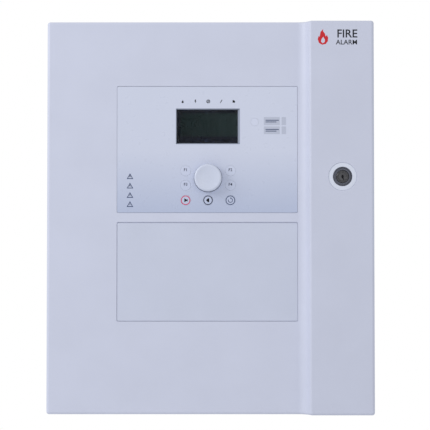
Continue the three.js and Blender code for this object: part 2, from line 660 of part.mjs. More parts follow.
/** The earth lead, from a ring under the nut to the mains terminals. */
function earthLead() {
  const back = SHEET + GAP + 1.2 + GAP;
  const ring = cut(
    disc(earth.x, earth.z, EARTH.flange, [back, back + 1], 12),
    disc(earth.x, earth.z, EARTH.stud + GAP, [back - 1, back + 2], 12),
  );
  const neck = earth.z - EARTH.flange;
  const tongue = block([earth.x - 2.2, earth.x + 2.2], [back, back + 1], [neck - 4, neck + 1]);
  const end = [mains.x[0] + 6, 12, mains.z + MAINS.height + 2 * GAP];
  const start = [earth.x, back + 0.6, neck - 2];
  const route = [start, [earth.x, back + 1.5, neck - 6], [end[0], end[1], end[2] + 8], end];
  return join(ring, tongue, lead(route, WIRE.thin, 10));
}

function earthNut() {
  const back = SHEET + GAP + 1.2 + 2 * GAP + 1;
  return cut(
    disc(earth.x, earth.z, EARTH.stud + 2.6, [back, back + 3.4], 6),
    disc(earth.x, earth.z, EARTH.stud + GAP, [back - 1, back + 5], 12),
  );
}

/** A sealed battery with its two terminal tabs, from its left edge. */
function battery(left) {
  const top = batteryFloor + BATTERY.height;
  const front = batteryBack + BATTERY.deep;
  const tab = (x) => block([x - 3.2, x + 3.2], [front - 14.4, front - 13.6], [top - 3, top + BATTERY.tab]);
  return join(
    block([left, left + BATTERY.width], [batteryBack, front], [batteryFloor, top - 4]),
    block([left + 1.5, left + BATTERY.width - 1.5], [batteryBack + 1.5, front - 1.5], [top - 5, top]),
    tab(left + 11),
    tab(left + BATTERY.width - 11),
  );
}

const batteryLeft = -BATTERY.apart / 2 - BATTERY.width;

/** The steel strap that holds both batteries back. */
function batteryStrap() {
  const outer = BATTERY.apart / 2 + BATTERY.width + STRAP.beside;
  const z = [batteryFloor + STRAP.z, batteryFloor + STRAP.z + STRAP.height];
  const front = batteryBack + BATTERY.deep + GAP;
  const sides = [-1, 1].flatMap((s) => {
    const leg = [s * outer, s * (outer + SHEET)].sort((a, b) => a - b);
    const foot = [s * outer, s * (outer + STRAP.foot)].sort((a, b) => a - b);
    return [block(leg, [SHEET + GAP, front + SHEET], z), block(foot, [SHEET + GAP, 2 * SHEET + GAP], z)];
  });
  return join(block([-outer - SHEET, outer + SHEET], [front, front + SHEET], z), ...sides);
}

/** Where each battery lead starts, on top of a terminal tab. */
const tabTop = batteryFloor + BATTERY.height + BATTERY.tab + GAP;
const tabDepth = batteryBack + BATTERY.deep - 14;
const tabs = {
  plus: [batteryLeft + 11, tabDepth, tabTop],
  linkFrom: [batteryLeft + BATTERY.width - 11, tabDepth, tabTop],
  linkTo: [BATTERY.apart / 2 + 11, tabDepth, tabTop],
  minus: [BATTERY.apart / 2 + BATTERY.width - 11, tabDepth, tabTop],
};

/** A lead from a battery tab up to the battery socket on the main board. */
function batteryLead([x, d, z], offset, steps) {
  const end = [main.left + 20 + offset, main.front + 9 + GAP, main.bottom + 7];
  const toward = Math.sign(end[0] - x);
  return lead([
    [x, d, z], [x, d, z + 4], [x + toward * 8, d - 4, z + 8], [end[0] - toward * 20, d - 18, z + 9],
    [end[0] - toward * 3, end[1] + 8, end[2] - 2], [end[0], end[1] + 4, end[2]], end,
  ], WIRE.thin, steps);
}

function batteryLink() {
  const [a, b] = [tabs.linkFrom, tabs.linkTo];
  const top = a[2] + 8;
  return lead([
    a, [a[0], a[1], top - 3], [a[0] + 5, a[1], top], [b[0] - 5, b[1], top], [b[0], b[1], top - 3], b,
  ], WIRE.thin, 10);
}

/** The mains lead from its terminals into the mouth of the power supply. */
function mainsLead() {
  const x = mains.x[0] + 26;
  const top = mains.z - 2 * GAP;
  return lead([
    [x, 17, top], [x, 17.3, top - 2], [x + 2, 22, psu.top + 3], [x + 2, 23, psu.top - 8],
  ], WIRE.mains, 6);
}

/** The low-voltage lead from the power supply to the main board. */
function supplyLead() {
  const x = psu.right - 16;
  const end = [supply.x, main.front + 9 + GAP, supply.z];
  return lead([
    [x, 24, psu.top - 6], [x, 24, psu.top + 2], [x + 4, 26, psu.top + 9], [end[0] - 6, 30, end[2] + 4],
    [end[0], end[1] + 4, end[2]], end,
  ], WIRE.mains, 8);
}

/** The flat cable from the main board across the hinge side to the board on the cover. */
function ribbonCable() {
  const over = PSU.front + 5;
  const turn = film.left - 33;
  const rest = boardBack - 7.5;
  const line = new THREE.CatmullRomCurve3([
    [ribbon.start, main.front + 8 + GAP], [ribbon.start - 1, over - 14], [ribbon.start - 12, over],
    [(ribbon.start + turn) / 2, over + 0.5], [turn + 14, over + 3], [turn, over + 12], [turn + 2, rest - 5],
    [turn + 14, rest - 1],
    [ribbon.end - 10, rest - 2], [ribbon.end - 1.5, rest - 1], [ribbon.end, boardBack - 6 - GAP],
  ].map(([x, d]) => new THREE.Vector3(x, -d, 0)), false, "centripetal");
  const steps = 36;
  const sides = [[], []];
  for (let i = 0; i <= steps; i++) {
    const p = line.getPoint(i / steps);
    const t = line.getTangent(i / steps);
    sides[0].push(new THREE.Vector2(p.x - (t.y * RIBBON.thick) / 2, p.y + (t.x * RIBBON.thick) / 2));
    sides[1].unshift(new THREE.Vector2(p.x + (t.y * RIBBON.thick) / 2, p.y - (t.x * RIBBON.thick) / 2));
  }
  return column(new THREE.Shape(sides.flat()), ribbon.span);
}

// ---------------------------------------------------------------- the panel

const cabinet = new THREE.Group();
place(cabinet, "back_box", backBox(), FINISH.boxPaint);
for (const [end, z] of [["upper", HINGE.z], ["lower", -HINGE.z]]) {
  place(cabinet, `hinge_bracket_${end}`, hingeBracket(z), FINISH.zinc);
  place(cabinet, `hinge_pin_${end}`, hingePin(z), FINISH.zinc);
}
place(cabinet, "lock_keeper", lockKeeper(), FINISH.zinc);
place(cabinet, "main_board", mainBoard(), FINISH.board);
mainCorners.forEach(([x, z], i) => {
  place(cabinet, `main_board_screw_${i + 1}`, screw(x, z, main.front + GAP, 1), FINISH.zinc);
});
place(cabinet, "loop_terminals", terminals(main.left + 16, TERMINAL.span), FINISH.green);
const outputSpan = TERMINAL.span * 0.8;
place(cabinet, "output_terminals", terminals(main.right - 12 - outputSpan, outputSpan), FINISH.green);
place(cabinet, "power_supply_board", psuBoard(), FINISH.board);
place(cabinet, "power_supply_cover", psuCover(), FINISH.zinc);
const mainsBlock = block(mains.x, [SHEET + GAP, SHEET + GAP + MAINS.deep], [mains.z, mains.z + MAINS.height]);
place(cabinet, "mains_terminals", mainsBlock, FINISH.grey);
const fuseZ = mains.z + MAINS.height / 2;
const fuse = disc(mains.x[1] + FUSE.beside, fuseZ, FUSE.radius, [SHEET + GAP, FUSE.deep]);
place(cabinet, "fuse_holder", fuse, FINISH.black);
place(cabinet, "earth_stud", earthStud(), FINISH.brass);
place(cabinet, "earth_nut", earthNut(), FINISH.brass);
place(cabinet, "earth_lead", earthLead(), FINISH.earth);
place(cabinet, "battery_left", battery(batteryLeft), FINISH.black);
place(cabinet, "battery_right", battery(BATTERY.apart / 2), FINISH.black);
place(cabinet, "battery_strap", batteryStrap(), FINISH.zinc);
place(cabinet, "battery_link_lead", batteryLink(), FINISH.red);
place(cabinet, "battery_lead_red", batteryLead(tabs.plus, 0, 16), FINISH.red);
place(cabinet, "battery_lead_black", batteryLead(tabs.minus, 12, 26), FINISH.black);
place(cabinet, "mains_lead", mainsLead(), FINISH.grey);
place(cabinet, "supply_lead", supplyLead(), FINISH.black);
place(cabinet, "ribbon_cable", ribbonCable(), FINISH.grey);

const door = new THREE.Group();
place(door, "door_cover", doorCover(), FINISH.coverPlastic);
place(door, "overlay_film", overlayFilm(), FINISH.film);
place(door, "blank_panel", blankPanel(), FINISH.coverPlastic);
const pane = panel(glassW + LENS.margin, glassH + LENS.margin, [lens.back, lens.front]);
place(door, "display_window", pane, FINISH.lens);
const glass = panel(glassW, glassH, [glassFront - DISPLAY.thick + GAP, glassFront]);
place(door, "display_glass", glass, FINISH.liquidCrystal);
place(door, "display_frame", displayFrame(), FINISH.zinc);
place(door, "display_board", displayBoard(), FINISH.board);
place(door, "ui_board", uiBoard(), FINISH.board);
uiCorners.forEach(([x, z], i) => {
  place(door, `ui_board_screw_${i + 1}`, screw(x, z, boardBack - GAP, -1), FINISH.zinc);
});
place(door, "encoder_body", encoderBody(), FINISH.grey);
const buzzerBack = boardBack - GAP - BUZZER.height;
const buzzer = disc(film.right - 36, film.bottom + 26, BUZZER.radius, [buzzerBack, boardBack - GAP]);
place(door, "buzzer", buzzer, FINISH.black);
place(door, "lock_barrel", lockBarrel(), FINISH.darkChrome);
place(door, "lock_nut", lockNut(), FINISH.zinc);
for (const key of keys) place(door, key.name, keyCap(key), FINISH.key);

const lockCore = new THREE.Group();
place(lockCore, "lock_plug", lockPlug(), FINISH.darkChrome);
place(lockCore, "lock_cam", lockCam(), FINISH.zinc);
place(lockCore, "cam_screw", screw(lock.x, lock.z, CAM.depth - 0.7, -1), FINISH.zinc);

const dialPush = new THREE.Group();
const push = disc(dial.x, dial.z, DIAL.shaft, [plunger.back, plunger.front], 20);
place(dialPush, "dial_plunger", push, FINISH.black);
const shaftEnd = COVER.face + DIAL.proud - DIAL.roof - GAP;
const shaft = disc(dial.x, dial.z, DIAL.shaft, [plunger.front + GAP, shaftEnd], 20);
place(dialPush, "dial_shaft", shaft, FINISH.zinc);
place(dialPush, "dial_knob", dialKnob(), FINISH.knob);

const fireAlarmPanel = new THREE.Group();
fireAlarmPanel.add(cabinet, door, lockCore, dialPush);

export default fireAlarmPanel;
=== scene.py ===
"""Looks of a wall-mounted fire alarm control panel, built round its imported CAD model.

All sizes are in millimetres, and depth is the distance out from the wall, so a depth d lies at y = -d.
Every mesh is written in metres, with its place in its vertices.
"""

import logging
from dataclasses import dataclass, field
from enum import Enum, StrEnum
from math import copysign, cos, pi, radians, sin, sqrt
from typing import Iterable, Sequence

import bmesh
import bpy
from mathutils import Matrix, Vector


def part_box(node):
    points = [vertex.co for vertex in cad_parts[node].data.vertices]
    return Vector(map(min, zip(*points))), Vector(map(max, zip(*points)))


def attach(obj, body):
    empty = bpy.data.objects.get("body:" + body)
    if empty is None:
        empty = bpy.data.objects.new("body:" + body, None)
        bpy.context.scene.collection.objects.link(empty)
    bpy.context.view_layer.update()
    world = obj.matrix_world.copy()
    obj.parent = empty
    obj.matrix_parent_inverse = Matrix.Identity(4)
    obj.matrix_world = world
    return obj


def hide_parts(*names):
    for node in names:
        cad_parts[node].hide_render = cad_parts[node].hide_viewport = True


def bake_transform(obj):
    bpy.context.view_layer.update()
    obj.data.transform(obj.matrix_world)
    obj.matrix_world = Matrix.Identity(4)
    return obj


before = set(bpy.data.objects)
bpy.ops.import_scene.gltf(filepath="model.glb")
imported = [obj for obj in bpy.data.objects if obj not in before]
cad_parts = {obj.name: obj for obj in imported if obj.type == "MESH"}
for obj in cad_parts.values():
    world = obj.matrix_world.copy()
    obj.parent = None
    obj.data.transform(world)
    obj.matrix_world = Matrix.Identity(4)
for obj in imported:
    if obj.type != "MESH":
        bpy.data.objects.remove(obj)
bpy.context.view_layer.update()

LOG = logging.getLogger("panel")
MM = 0.001
SMOOTH = radians(32)

Flat = tuple[float, float]
Point = tuple[float, float, float]
Colour = tuple[float, float, float]
Line = tuple[Point, Point]
Piece = bpy.types.Object
Socket = bpy.types.NodeSocket


class Body(StrEnum):
    """The rigid bodies of the CAD model that pieces ride on."""

    CABINET = "cabinet"
    DOOR = "door"
    LOCK = "lock_core"
    DIAL = "dial"
    DIAL_PUSH = "dial_push"


MAIN_SCREWS = tuple(f"main_board_screw_{i}" for i in (1, 2, 3, 4))
DOOR_SCREWS = tuple(f"ui_board_screw_{i}" for i in (1, 2, 3, 4))
BRACKETS = ("hinge_bracket_upper", "hinge_bracket_lower")


def linear(*display: int) -> Colour:
    """Turns a display colour, three values of 0 to 255, into linear light of 0 to 1."""
    shares = [value / 255 for value in display]
    return tuple(s / 12.92 if s <= 0.04045 else ((s + 0.055) / 1.055) ** 2.4 for s in shares)


@dataclass(frozen=True)
class Extent:
    """The box of a CAD node in millimetres: x, depth out from the wall, and z."""

    x0: float
    x1: float
    d0: float
    d1: float
    z0: float
    z1: float

    @classmethod
    def of(cls, node: str) -> "Extent":
        """Reads a CAD node's box from the frame."""
        low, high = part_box(node)
        return cls(low.x / MM, high.x / MM, -high.y / MM, -low.y / MM, low.z / MM, high.z / MM)

    @property
    def x(self) -> float:
        """The middle in x."""
        return (self.x0 + self.x1) / 2

    @property
    def z(self) -> float:
        """The middle in z."""
        return (self.z0 + self.z1) / 2

    @property
    def width(self) -> float:
        """The size in x."""
        return self.x1 - self.x0

    @property
    def height(self) -> float:
        """The size in z."""
        return self.z1 - self.z0


def box_of(node: str) -> Extent:
    """A dataclass field that holds a CAD node's box."""
    return field(default_factory=lambda: Extent.of(node))


# ---- finishes


class NodeTree:
    """A node tree while it is built."""

    def __init__(self, tree: bpy.types.NodeTree) -> None:
        """Takes up a tree."""
        self.tree = tree

    def add(self, kind: str, inputs: dict | None = None, **settings: object) -> bpy.types.Node:
        """Adds a node.

        Args:
            kind: The node's type.
            inputs: Values or sockets for its inputs, by name or number.
            **settings: Properties to set on it.

        Returns:
            The node.
        """
        node = self.tree.nodes.new(kind)
        for key, value in settings.items():
            setattr(node, key, value)
        for key, value in (inputs or {}).items():
            if isinstance(value, Socket):
                self.tree.links.new(value, node.inputs[key])
            else:
                node.inputs[key].default_value = value
        return node


class Shader(NodeTree):
    """The nodes of one material, round its principled shader."""

    def __init__(self, name: str) -> None:
        """Starts a material.

        Args:
            name: The material's name.
        """
        self.material = bpy.data.materials.new(name)
        self.material.use_nodes = True
        super().__init__(self.material.node_tree)
        self.surface = self.tree.nodes["Principled BSDF"]
        self.place = self.tree.nodes.new("ShaderNodeTexCoord").outputs["Object"]

    def noise(self, size: float, detail: float = 2.0) -> Socket:
        """Adds noise of 0 to 1 on the object's own coordinates, in blotches of a size in millimetres."""
        inputs = {"Vector": self.place, "Scale": 1 / (size * MM), "Detail": detail}
        return self.add("ShaderNodeTexNoise", inputs).outputs["Fac"]

    def spread(self, value: Socket, low: float, high: float) -> Socket:
        """Maps noise of 0 to 1 to a range, whose ends it reaches at 0.3 and 0.7."""
        limits = {"Value": value, "From Min": 0.3, "From Max": 0.7, "To Min": low, "To Max": high}
        return self.add("ShaderNodeMapRange", limits).outputs[0]

    def blend(self, share: Socket, first: object, second: object) -> Socket:
        """Mixes two colours.

        Args:
            share: How much of the second.
            first: A colour or a socket.
            second: A colour or a socket.

        Returns:
            The mixed colour.
        """
        node = self.add("ShaderNodeMix", {"Factor": share}, data_type="RGBA")
        self.feed(node.inputs[6], first)
        self.feed(node.inputs[7], second)
        return node.outputs[2]

    def feed(self, target: Socket, value: object) -> None:
        """Gives an input a colour or another node's result."""
        if isinstance(value, Socket):
            self.tree.links.new(value, target)
        else:
            target.default_value = (*value, 1.0)

    def paint(self, colour: object) -> None:
        """Sets the base colour from a colour or a socket."""
        self.feed(self.surface.inputs["Base Color"], colour)

    def rough(self, value: Socket) -> None:
        """Drives the roughness."""
        self.tree.links.new(value, self.surface.inputs["Roughness"])

    def emboss(self, height: Socket, depth: float) -> None:
        """Adds bump from a pattern of 0 to 1, so many millimetres deep."""
        bump = self.add("ShaderNodeBump", {"Height": height, "Distance": depth * MM, "Strength": 1.0})
        self.tree.links.new(bump.outputs[0], self.surface.inputs["Normal"])

    def across(self, axis: str, low: float, high: float) -> Socket:
        """A ramp along the X, Y or Z axis, from 0 at one place to 1 at another, in millimetres."""
        parts = self.add("ShaderNodeSeparateXYZ", {0: self.place})
        limits = {"Value": parts.outputs[axis], "From Min": low * MM, "From Max": high * MM}
        return self.add("ShaderNodeMapRange", limits).outputs[0]


@dataclass(frozen=True)
class Finish:
    """A surface finish, made into a material once and shared."""

    name: str
    colour: Colour
    slot: str
    roughness: float = 0.45
    grain: float = 0.35
    relief: float = 0.01
    mottle: float = 0.03

    def dress(self, shader: Shader) -> None:
        """Builds the finish: matte colour with faint mottling and a fine moulded grain.

        Args:
            shader: The material being built.
        """
        darker = tuple(c * (1 - self.mottle) for c in self.colour)
        shader.paint(shader.blend(shader.spread(shader.noise(40), 0, 1), darker, self.colour))
        self.vary(shader, 3, 0.04)
        shader.emboss(shader.noise(self.grain, 3), self.relief)

    def vary(self, shader: Shader, size: float, swing: float) -> None:
        """Lets the roughness wander by a swing, in blotches of a size."""
        shader.rough(shader.spread(shader.noise(size), self.roughness - swing, self.roughness + swing))

    def material(self) -> bpy.types.Material:
        """Returns the finish's material, built on first use."""
        title = self.name + "_finish"
        made = bpy.data.materials.get(title)
        if made is None:
            shader = Shader(title)
            self.dress(shader)
            made = shader.material
        return made


@dataclass(frozen=True)
class ReflectionTintedFilm(Finish):
    """A satin film whose colour turns deeper and bluer downwards, as a painted reflection of the surround."""

    grain: float = 0.8
    relief: float = 0.002
    low_colour: Colour = (0.4, 0.45, 0.6)
    bottom: float = 3.0
    top: float = 76.0

    def dress(self, shader: Shader) -> None:
        """Builds the painted reflection and a faint orange-peel gloss."""
        # Painted reflection: the colour deepens and turns bluer towards the bottom.
        tint = shader.blend(shader.across("Z", self.bottom, self.top), self.low_colour, self.colour)
        darker = shader.blend(shader.spread(shader.noise(60), 0, self.mottle), tint, (0, 0, 0))
        shader.paint(darker)
        self.vary(shader, 6, 0.03)
        shader.emboss(shader.noise(self.grain, 2), self.relief)


@dataclass(frozen=True)
class MouldedCover(Finish):
    """The cover's plastic, with painted shade that makes the raised band a tone deeper."""

    band_left: float = 110.0
    band_shade: float = 0.965

    def dress(self, shader: Shader) -> None:
        """Builds the plain colour and the band's painted shade, with faint mottling and the moulded grain."""
        # Painted shade: the band is a tone deeper, standing in for the weaker light that falls on it.
        deeper = tuple(c * self.band_shade for c in self.colour)
        tone = shader.blend(shader.across("X", self.band_left, self.band_left + 4), self.colour, deeper)
        shader.paint(shader.blend(shader.spread(shader.noise(45), 0, self.mottle), tone, (0, 0, 0)))
        self.vary(shader, 3, 0.04)
        shader.emboss(shader.noise(self.grain, 3), self.relief)


@dataclass(frozen=True)
class PlatedMetal(Finish):
    """Plated or bare metal."""

    def dress(self, shader: Shader) -> None:
        """Builds a metal of cloudy tone whose roughness and relief share one fine pattern."""
        shader.surface.inputs["Metallic"].default_value = 1.0
        darker = tuple(c * (1 - self.mottle) for c in self.colour)
        shader.paint(shader.blend(shader.spread(shader.noise(9, 3), 0, 1), darker, self.colour))
        lay = shader.noise(self.grain, 3)
        shader.rough(shader.spread(lay, self.roughness - 0.07, self.roughness + 0.07))
        shader.emboss(lay, self.relief)


@dataclass(frozen=True)
class InkAndShadePaint(Finish):
    """Screen-printed ink, a little uneven; the same flat paint also gives painted shade on the display opening's
    slopes and in the keyway.
    """

    roughness: float = 0.5

    def dress(self, shader: Shader) -> None:
        """Builds the flat colour of ink and painted shade, with fine unevenness and no grain."""
        lighter = tuple(min(1.0, c + 0.006) for c in self.colour)
        shader.surface.inputs["Specular IOR Level"].default_value = 0.15
        shader.paint(shader.blend(shader.spread(shader.noise(0.4), 0, 1), self.colour, lighter))
        self.vary(shader, 1.5, 0.05)


@dataclass(frozen=True)
class LiquidCrystal(Finish):
    """An unlit dot-matrix display, lighter towards one side as a painted reflection, with the faint grid of its
    dots.
    """

    reflected_colour: Colour = (0.04, 0.05, 0.05)
    left: float = 0.0
    right: float = 60.0
    dot: float = 0.55

    def dress(self, shader: Shader) -> None:
        """Builds the painted reflection across the glass and the grid of dots."""
        # Painted reflection: the glass lightens towards the right.
        tint = shader.blend(shader.across("X", self.left, self.right), self.colour, self.reflected_colour)
        turned = shader.add("ShaderNodeMapping", {"Vector": shader.place, "Rotation": (pi / 2, 0, 0)})
        grid = shader.add("ShaderNodeTexBrick", {
            "Vector": turned.outputs[0], "Scale": 1 / (self.dot * MM), "Mortar Size": 0.06,
            "Mortar Smooth": 0.3, "Brick Width": 1.0, "Row Height": 1.0,
        }, offset=0.0)
        shader.surface.inputs["Specular IOR Level"].default_value = 0.1
        shader.paint(shader.blend(shader.spread(grid.outputs["Fac"], 0, 0.12), tint, (0, 0, 0)))
        shader.rough(shader.spread(shader.noise(12), self.roughness, self.roughness + 0.05))


@dataclass(frozen=True)
class ClearPane(Finish):
    """Clear moulded plastic."""

    def dress(self, shader: Shader) -> None:
        """Builds a clear material with faint haze."""
        shader.paint(self.colour)
        shader.surface.inputs["Transmission Weight"].default_value = 1.0
        shader.surface.inputs["IOR"].default_value = 1.1
        shader.rough(shader.spread(shader.noise(15), 0.02, 0.06))


@dataclass(frozen=True)
class Laminate(Finish):
    """A circuit board: solder mask over copper tracks."""

    track: float = 1.6

    def dress(self, shader: Shader) -> None:
        """Builds the mask's colour over a maze of tracks, which stand out a little."""
        turned = shader.add("ShaderNodeMapping", {"Vector": shader.place, "Rotation": (pi / 2, 0, 0)})
        maze = shader.add("ShaderNodeTexBrick", {
            "Vector": turned.outputs[0], "Scale": 1 / (self.track * MM), "Mortar Size": 0.11,
            "Mortar Smooth": 0.1, "Brick Width": 7.0, "Row Height": 1.0,
        }, offset=0.37, offset_frequency=3)
        lighter = tuple(min(1.0, c * 1.7 + 0.01) for c in self.colour)
        shader.paint(shader.blend(maze.outputs["Fac"], self.colour, lighter))
        self.vary(shader, 5, 0.04)
        shader.emboss(maze.outputs["Fac"], 0.035)


@dataclass(frozen=True)
class Insulation(Finish):
    """Insulated wire, with an optional second colour in a spiral."""

    stripe: Colour | None = None

    def dress(self, shader: Shader) -> None:
        """Builds soft plastic, striped where a stripe is given."""
        base: object = self.colour
        if self.stripe is not None:
            wave = shader.add("ShaderNodeTexWave", {"Vector": shader.place, "Scale": 60.0},
                              wave_type="BANDS", bands_direction="DIAGONAL")
            base = shader.blend(shader.spread(wave.outputs["Fac"], 0, 1), self.colour, self.stripe)
        darker = shader.blend(shader.spread(shader.noise(8), 0, 0.12), base, (0, 0, 0))
        shader.paint(darker)
        self.vary(shader, 2, 0.05)
        shader.emboss(shader.noise(0.6), 0.02)


COVER_PLASTIC = MouldedCover("cover_plastic", linear(203, 207, 225), "cover_plastic", roughness=0.46)
BLANK_PLASTIC = Finish("blank_plastic", linear(199, 204, 222), "blank_plastic", roughness=0.48)
BOX_PAINT = Finish("box_paint", linear(222, 225, 231), "box_paint", roughness=0.5, grain=1.1, relief=0.03)
COLLAR_PLASTIC = Finish("collar_plastic", linear(214, 219, 234), "cover_plastic", roughness=0.35,
                        relief=0.004)
KNOB_PLASTIC = Finish("knob_plastic", linear(204, 210, 228), "knob_plastic", roughness=0.22, grain=0.12,
                      relief=0.004)
ZINC = PlatedMetal("zinc_steel", (0.62, 0.64, 0.66), "zinc_steel", roughness=0.34, grain=1.4, mottle=0.14)
DARK_NICKEL = PlatedMetal("dark_nickel", (0.085, 0.085, 0.09), "dark_chrome", roughness=0.3, grain=0.5,
                          relief=0.003)
BRIGHT_NICKEL = PlatedMetal("bright_nickel", (0.1, 0.105, 0.13), "dark_chrome", roughness=0.26, grain=0.5,
                            relief=0.002)
BRASS = PlatedMetal("brass", (0.66, 0.5, 0.22), "brass", roughness=0.28, grain=0.6, mottle=0.12)
TIN = PlatedMetal("tin", (0.7, 0.71, 0.72), "zinc_steel", roughness=0.3, grain=0.3, relief=0.002)
BOARD_GREEN = Laminate("board_green", linear(24, 92, 52), "board", roughness=0.38)
BLACK_PLASTIC = Finish("black_plastic", linear(34, 35, 38), "black_plastic", roughness=0.5, grain=0.5,
                       relief=0.015)
CHIP_BLACK = Finish("chip_black", linear(28, 28, 30), "black_plastic", roughness=0.55, grain=0.15)
GREY_PLASTIC = Finish("grey_plastic", linear(132, 136, 142), "grey_plastic", roughness=0.5)
IVORY_PLASTIC = Finish("ivory_plastic", linear(226, 221, 205), "grey_plastic", roughness=0.45)
GREEN_PLASTIC = Finish("green_plastic", linear(60, 150, 76), "green_plastic", roughness=0.42)
BLUE_SLEEVE = Finish("blue_sleeve", linear(44, 74, 140), "black_plastic", roughness=0.35, grain=0.2,
                     relief=0.004)
YELLOW_SLEEVE = Finish("yellow_sleeve", linear(214, 172, 50), "grey_plastic", roughness=0.4, grain=0.2)
RED_WIRE = Insulation("red_wire", linear(186, 38, 44), "red_wire", roughness=0.4)
BLACK_WIRE = Insulation("black_wire", linear(26, 26, 28), "black_wire", roughness=0.42)
EARTH_WIRE = Insulation("earth_wire", linear(60, 146, 58), "earth_wire", roughness=0.4,
                        stripe=linear(228, 206, 60))
FLAT_CABLE = Insulation("flat_cable", linear(172, 174, 178), "flat_cable", roughness=0.42)
RED_CORE = Insulation("red_core", linear(190, 50, 52), "flat_cable", roughness=0.42)
PANE = ClearPane("clear_pane", (0.98, 0.99, 1.0), "lens")
MASK_BLACK = InkAndShadePaint("display_mask", linear(14, 19, 33), "liquid_crystal", roughness=0.25)
NAVY_INK = InkAndShadePaint("navy_ink", linear(34, 36, 62), "film")
# Black print, and the painted shade inside the lock's keyway.
BLACK_INK_AND_SHADE = InkAndShadePaint("black_ink_and_shade", linear(12, 13, 20), "film")
SLATE_INK = InkAndShadePaint("slate_ink", linear(58, 72, 106), "film")
RED_INK = InkAndShadePaint("red_ink", linear(204, 44, 88), "key_plastic")
GREY_INK = InkAndShadePaint("grey_ink", linear(186, 191, 208), "film")
# Painted shade: the grey that lines the display opening's white slopes.
SLOPE_SHADE_GREY = InkAndShadePaint("slope_shade_grey", linear(146, 153, 170), "film")
FLAME_INK = InkAndShadePaint("flame_ink", linear(200, 42, 48), "cover_plastic", roughness=0.45)
DARK_INK = InkAndShadePaint("dark_ink", linear(38, 40, 46), "cover_plastic", roughness=0.45)


# ---- making meshes


def arc(x: float, y: float, radius: float, start: float, stop: float, steps: int) -> list[Flat]:
    """Points along an arc about x and y, from one angle in degrees to another, both ends included."""
    angles = [radians(start + (stop - start) * i / steps) for i in range(steps + 1)]
    return [(x + radius * cos(a), y + radius * sin(a)) for a in angles]


def round_rect(x0: float, x1: float, z0: float, z1: float, radius: float) -> list[Flat]:
    """A rectangle with rounded corners.

    Args:
        x0: Left edge.
        x1: Right edge.
        z0: Lower edge.
        z1: Upper edge.
        radius: Corner radius.

    Returns:
        The outline, anticlockwise.
    """
    corners = [(x1 - radius, z1 - radius, 0), (x0 + radius, z1 - radius, 90),
               (x0 + radius, z0 + radius, 180), (x1 - radius, z0 + radius, 270)]
    return [p for x, z, a in corners for p in arc(x, z, radius, a, a + 90, 6)]


def quarter(steps: int) -> list[float]:
    """Angles from 0 to a right angle in even steps."""
    return [pi / 2 * i / steps for i in range(steps + 1)]


def crown(radius: float, front: float, soft: float) -> list[Flat]:
    """The soft edge of a turned face, as points of radius and depth."""
    return [(radius - soft * (1 - sin(a)), front - soft * (1 - cos(a))) for a in quarter(6)]


def link(name: str, data: bpy.types.ID) -> Piece:
    """Puts new data into the scene as an object at the origin."""
    made = bpy.data.objects.new(name, data)
    bpy.context.scene.collection.objects.link(made)
    return made


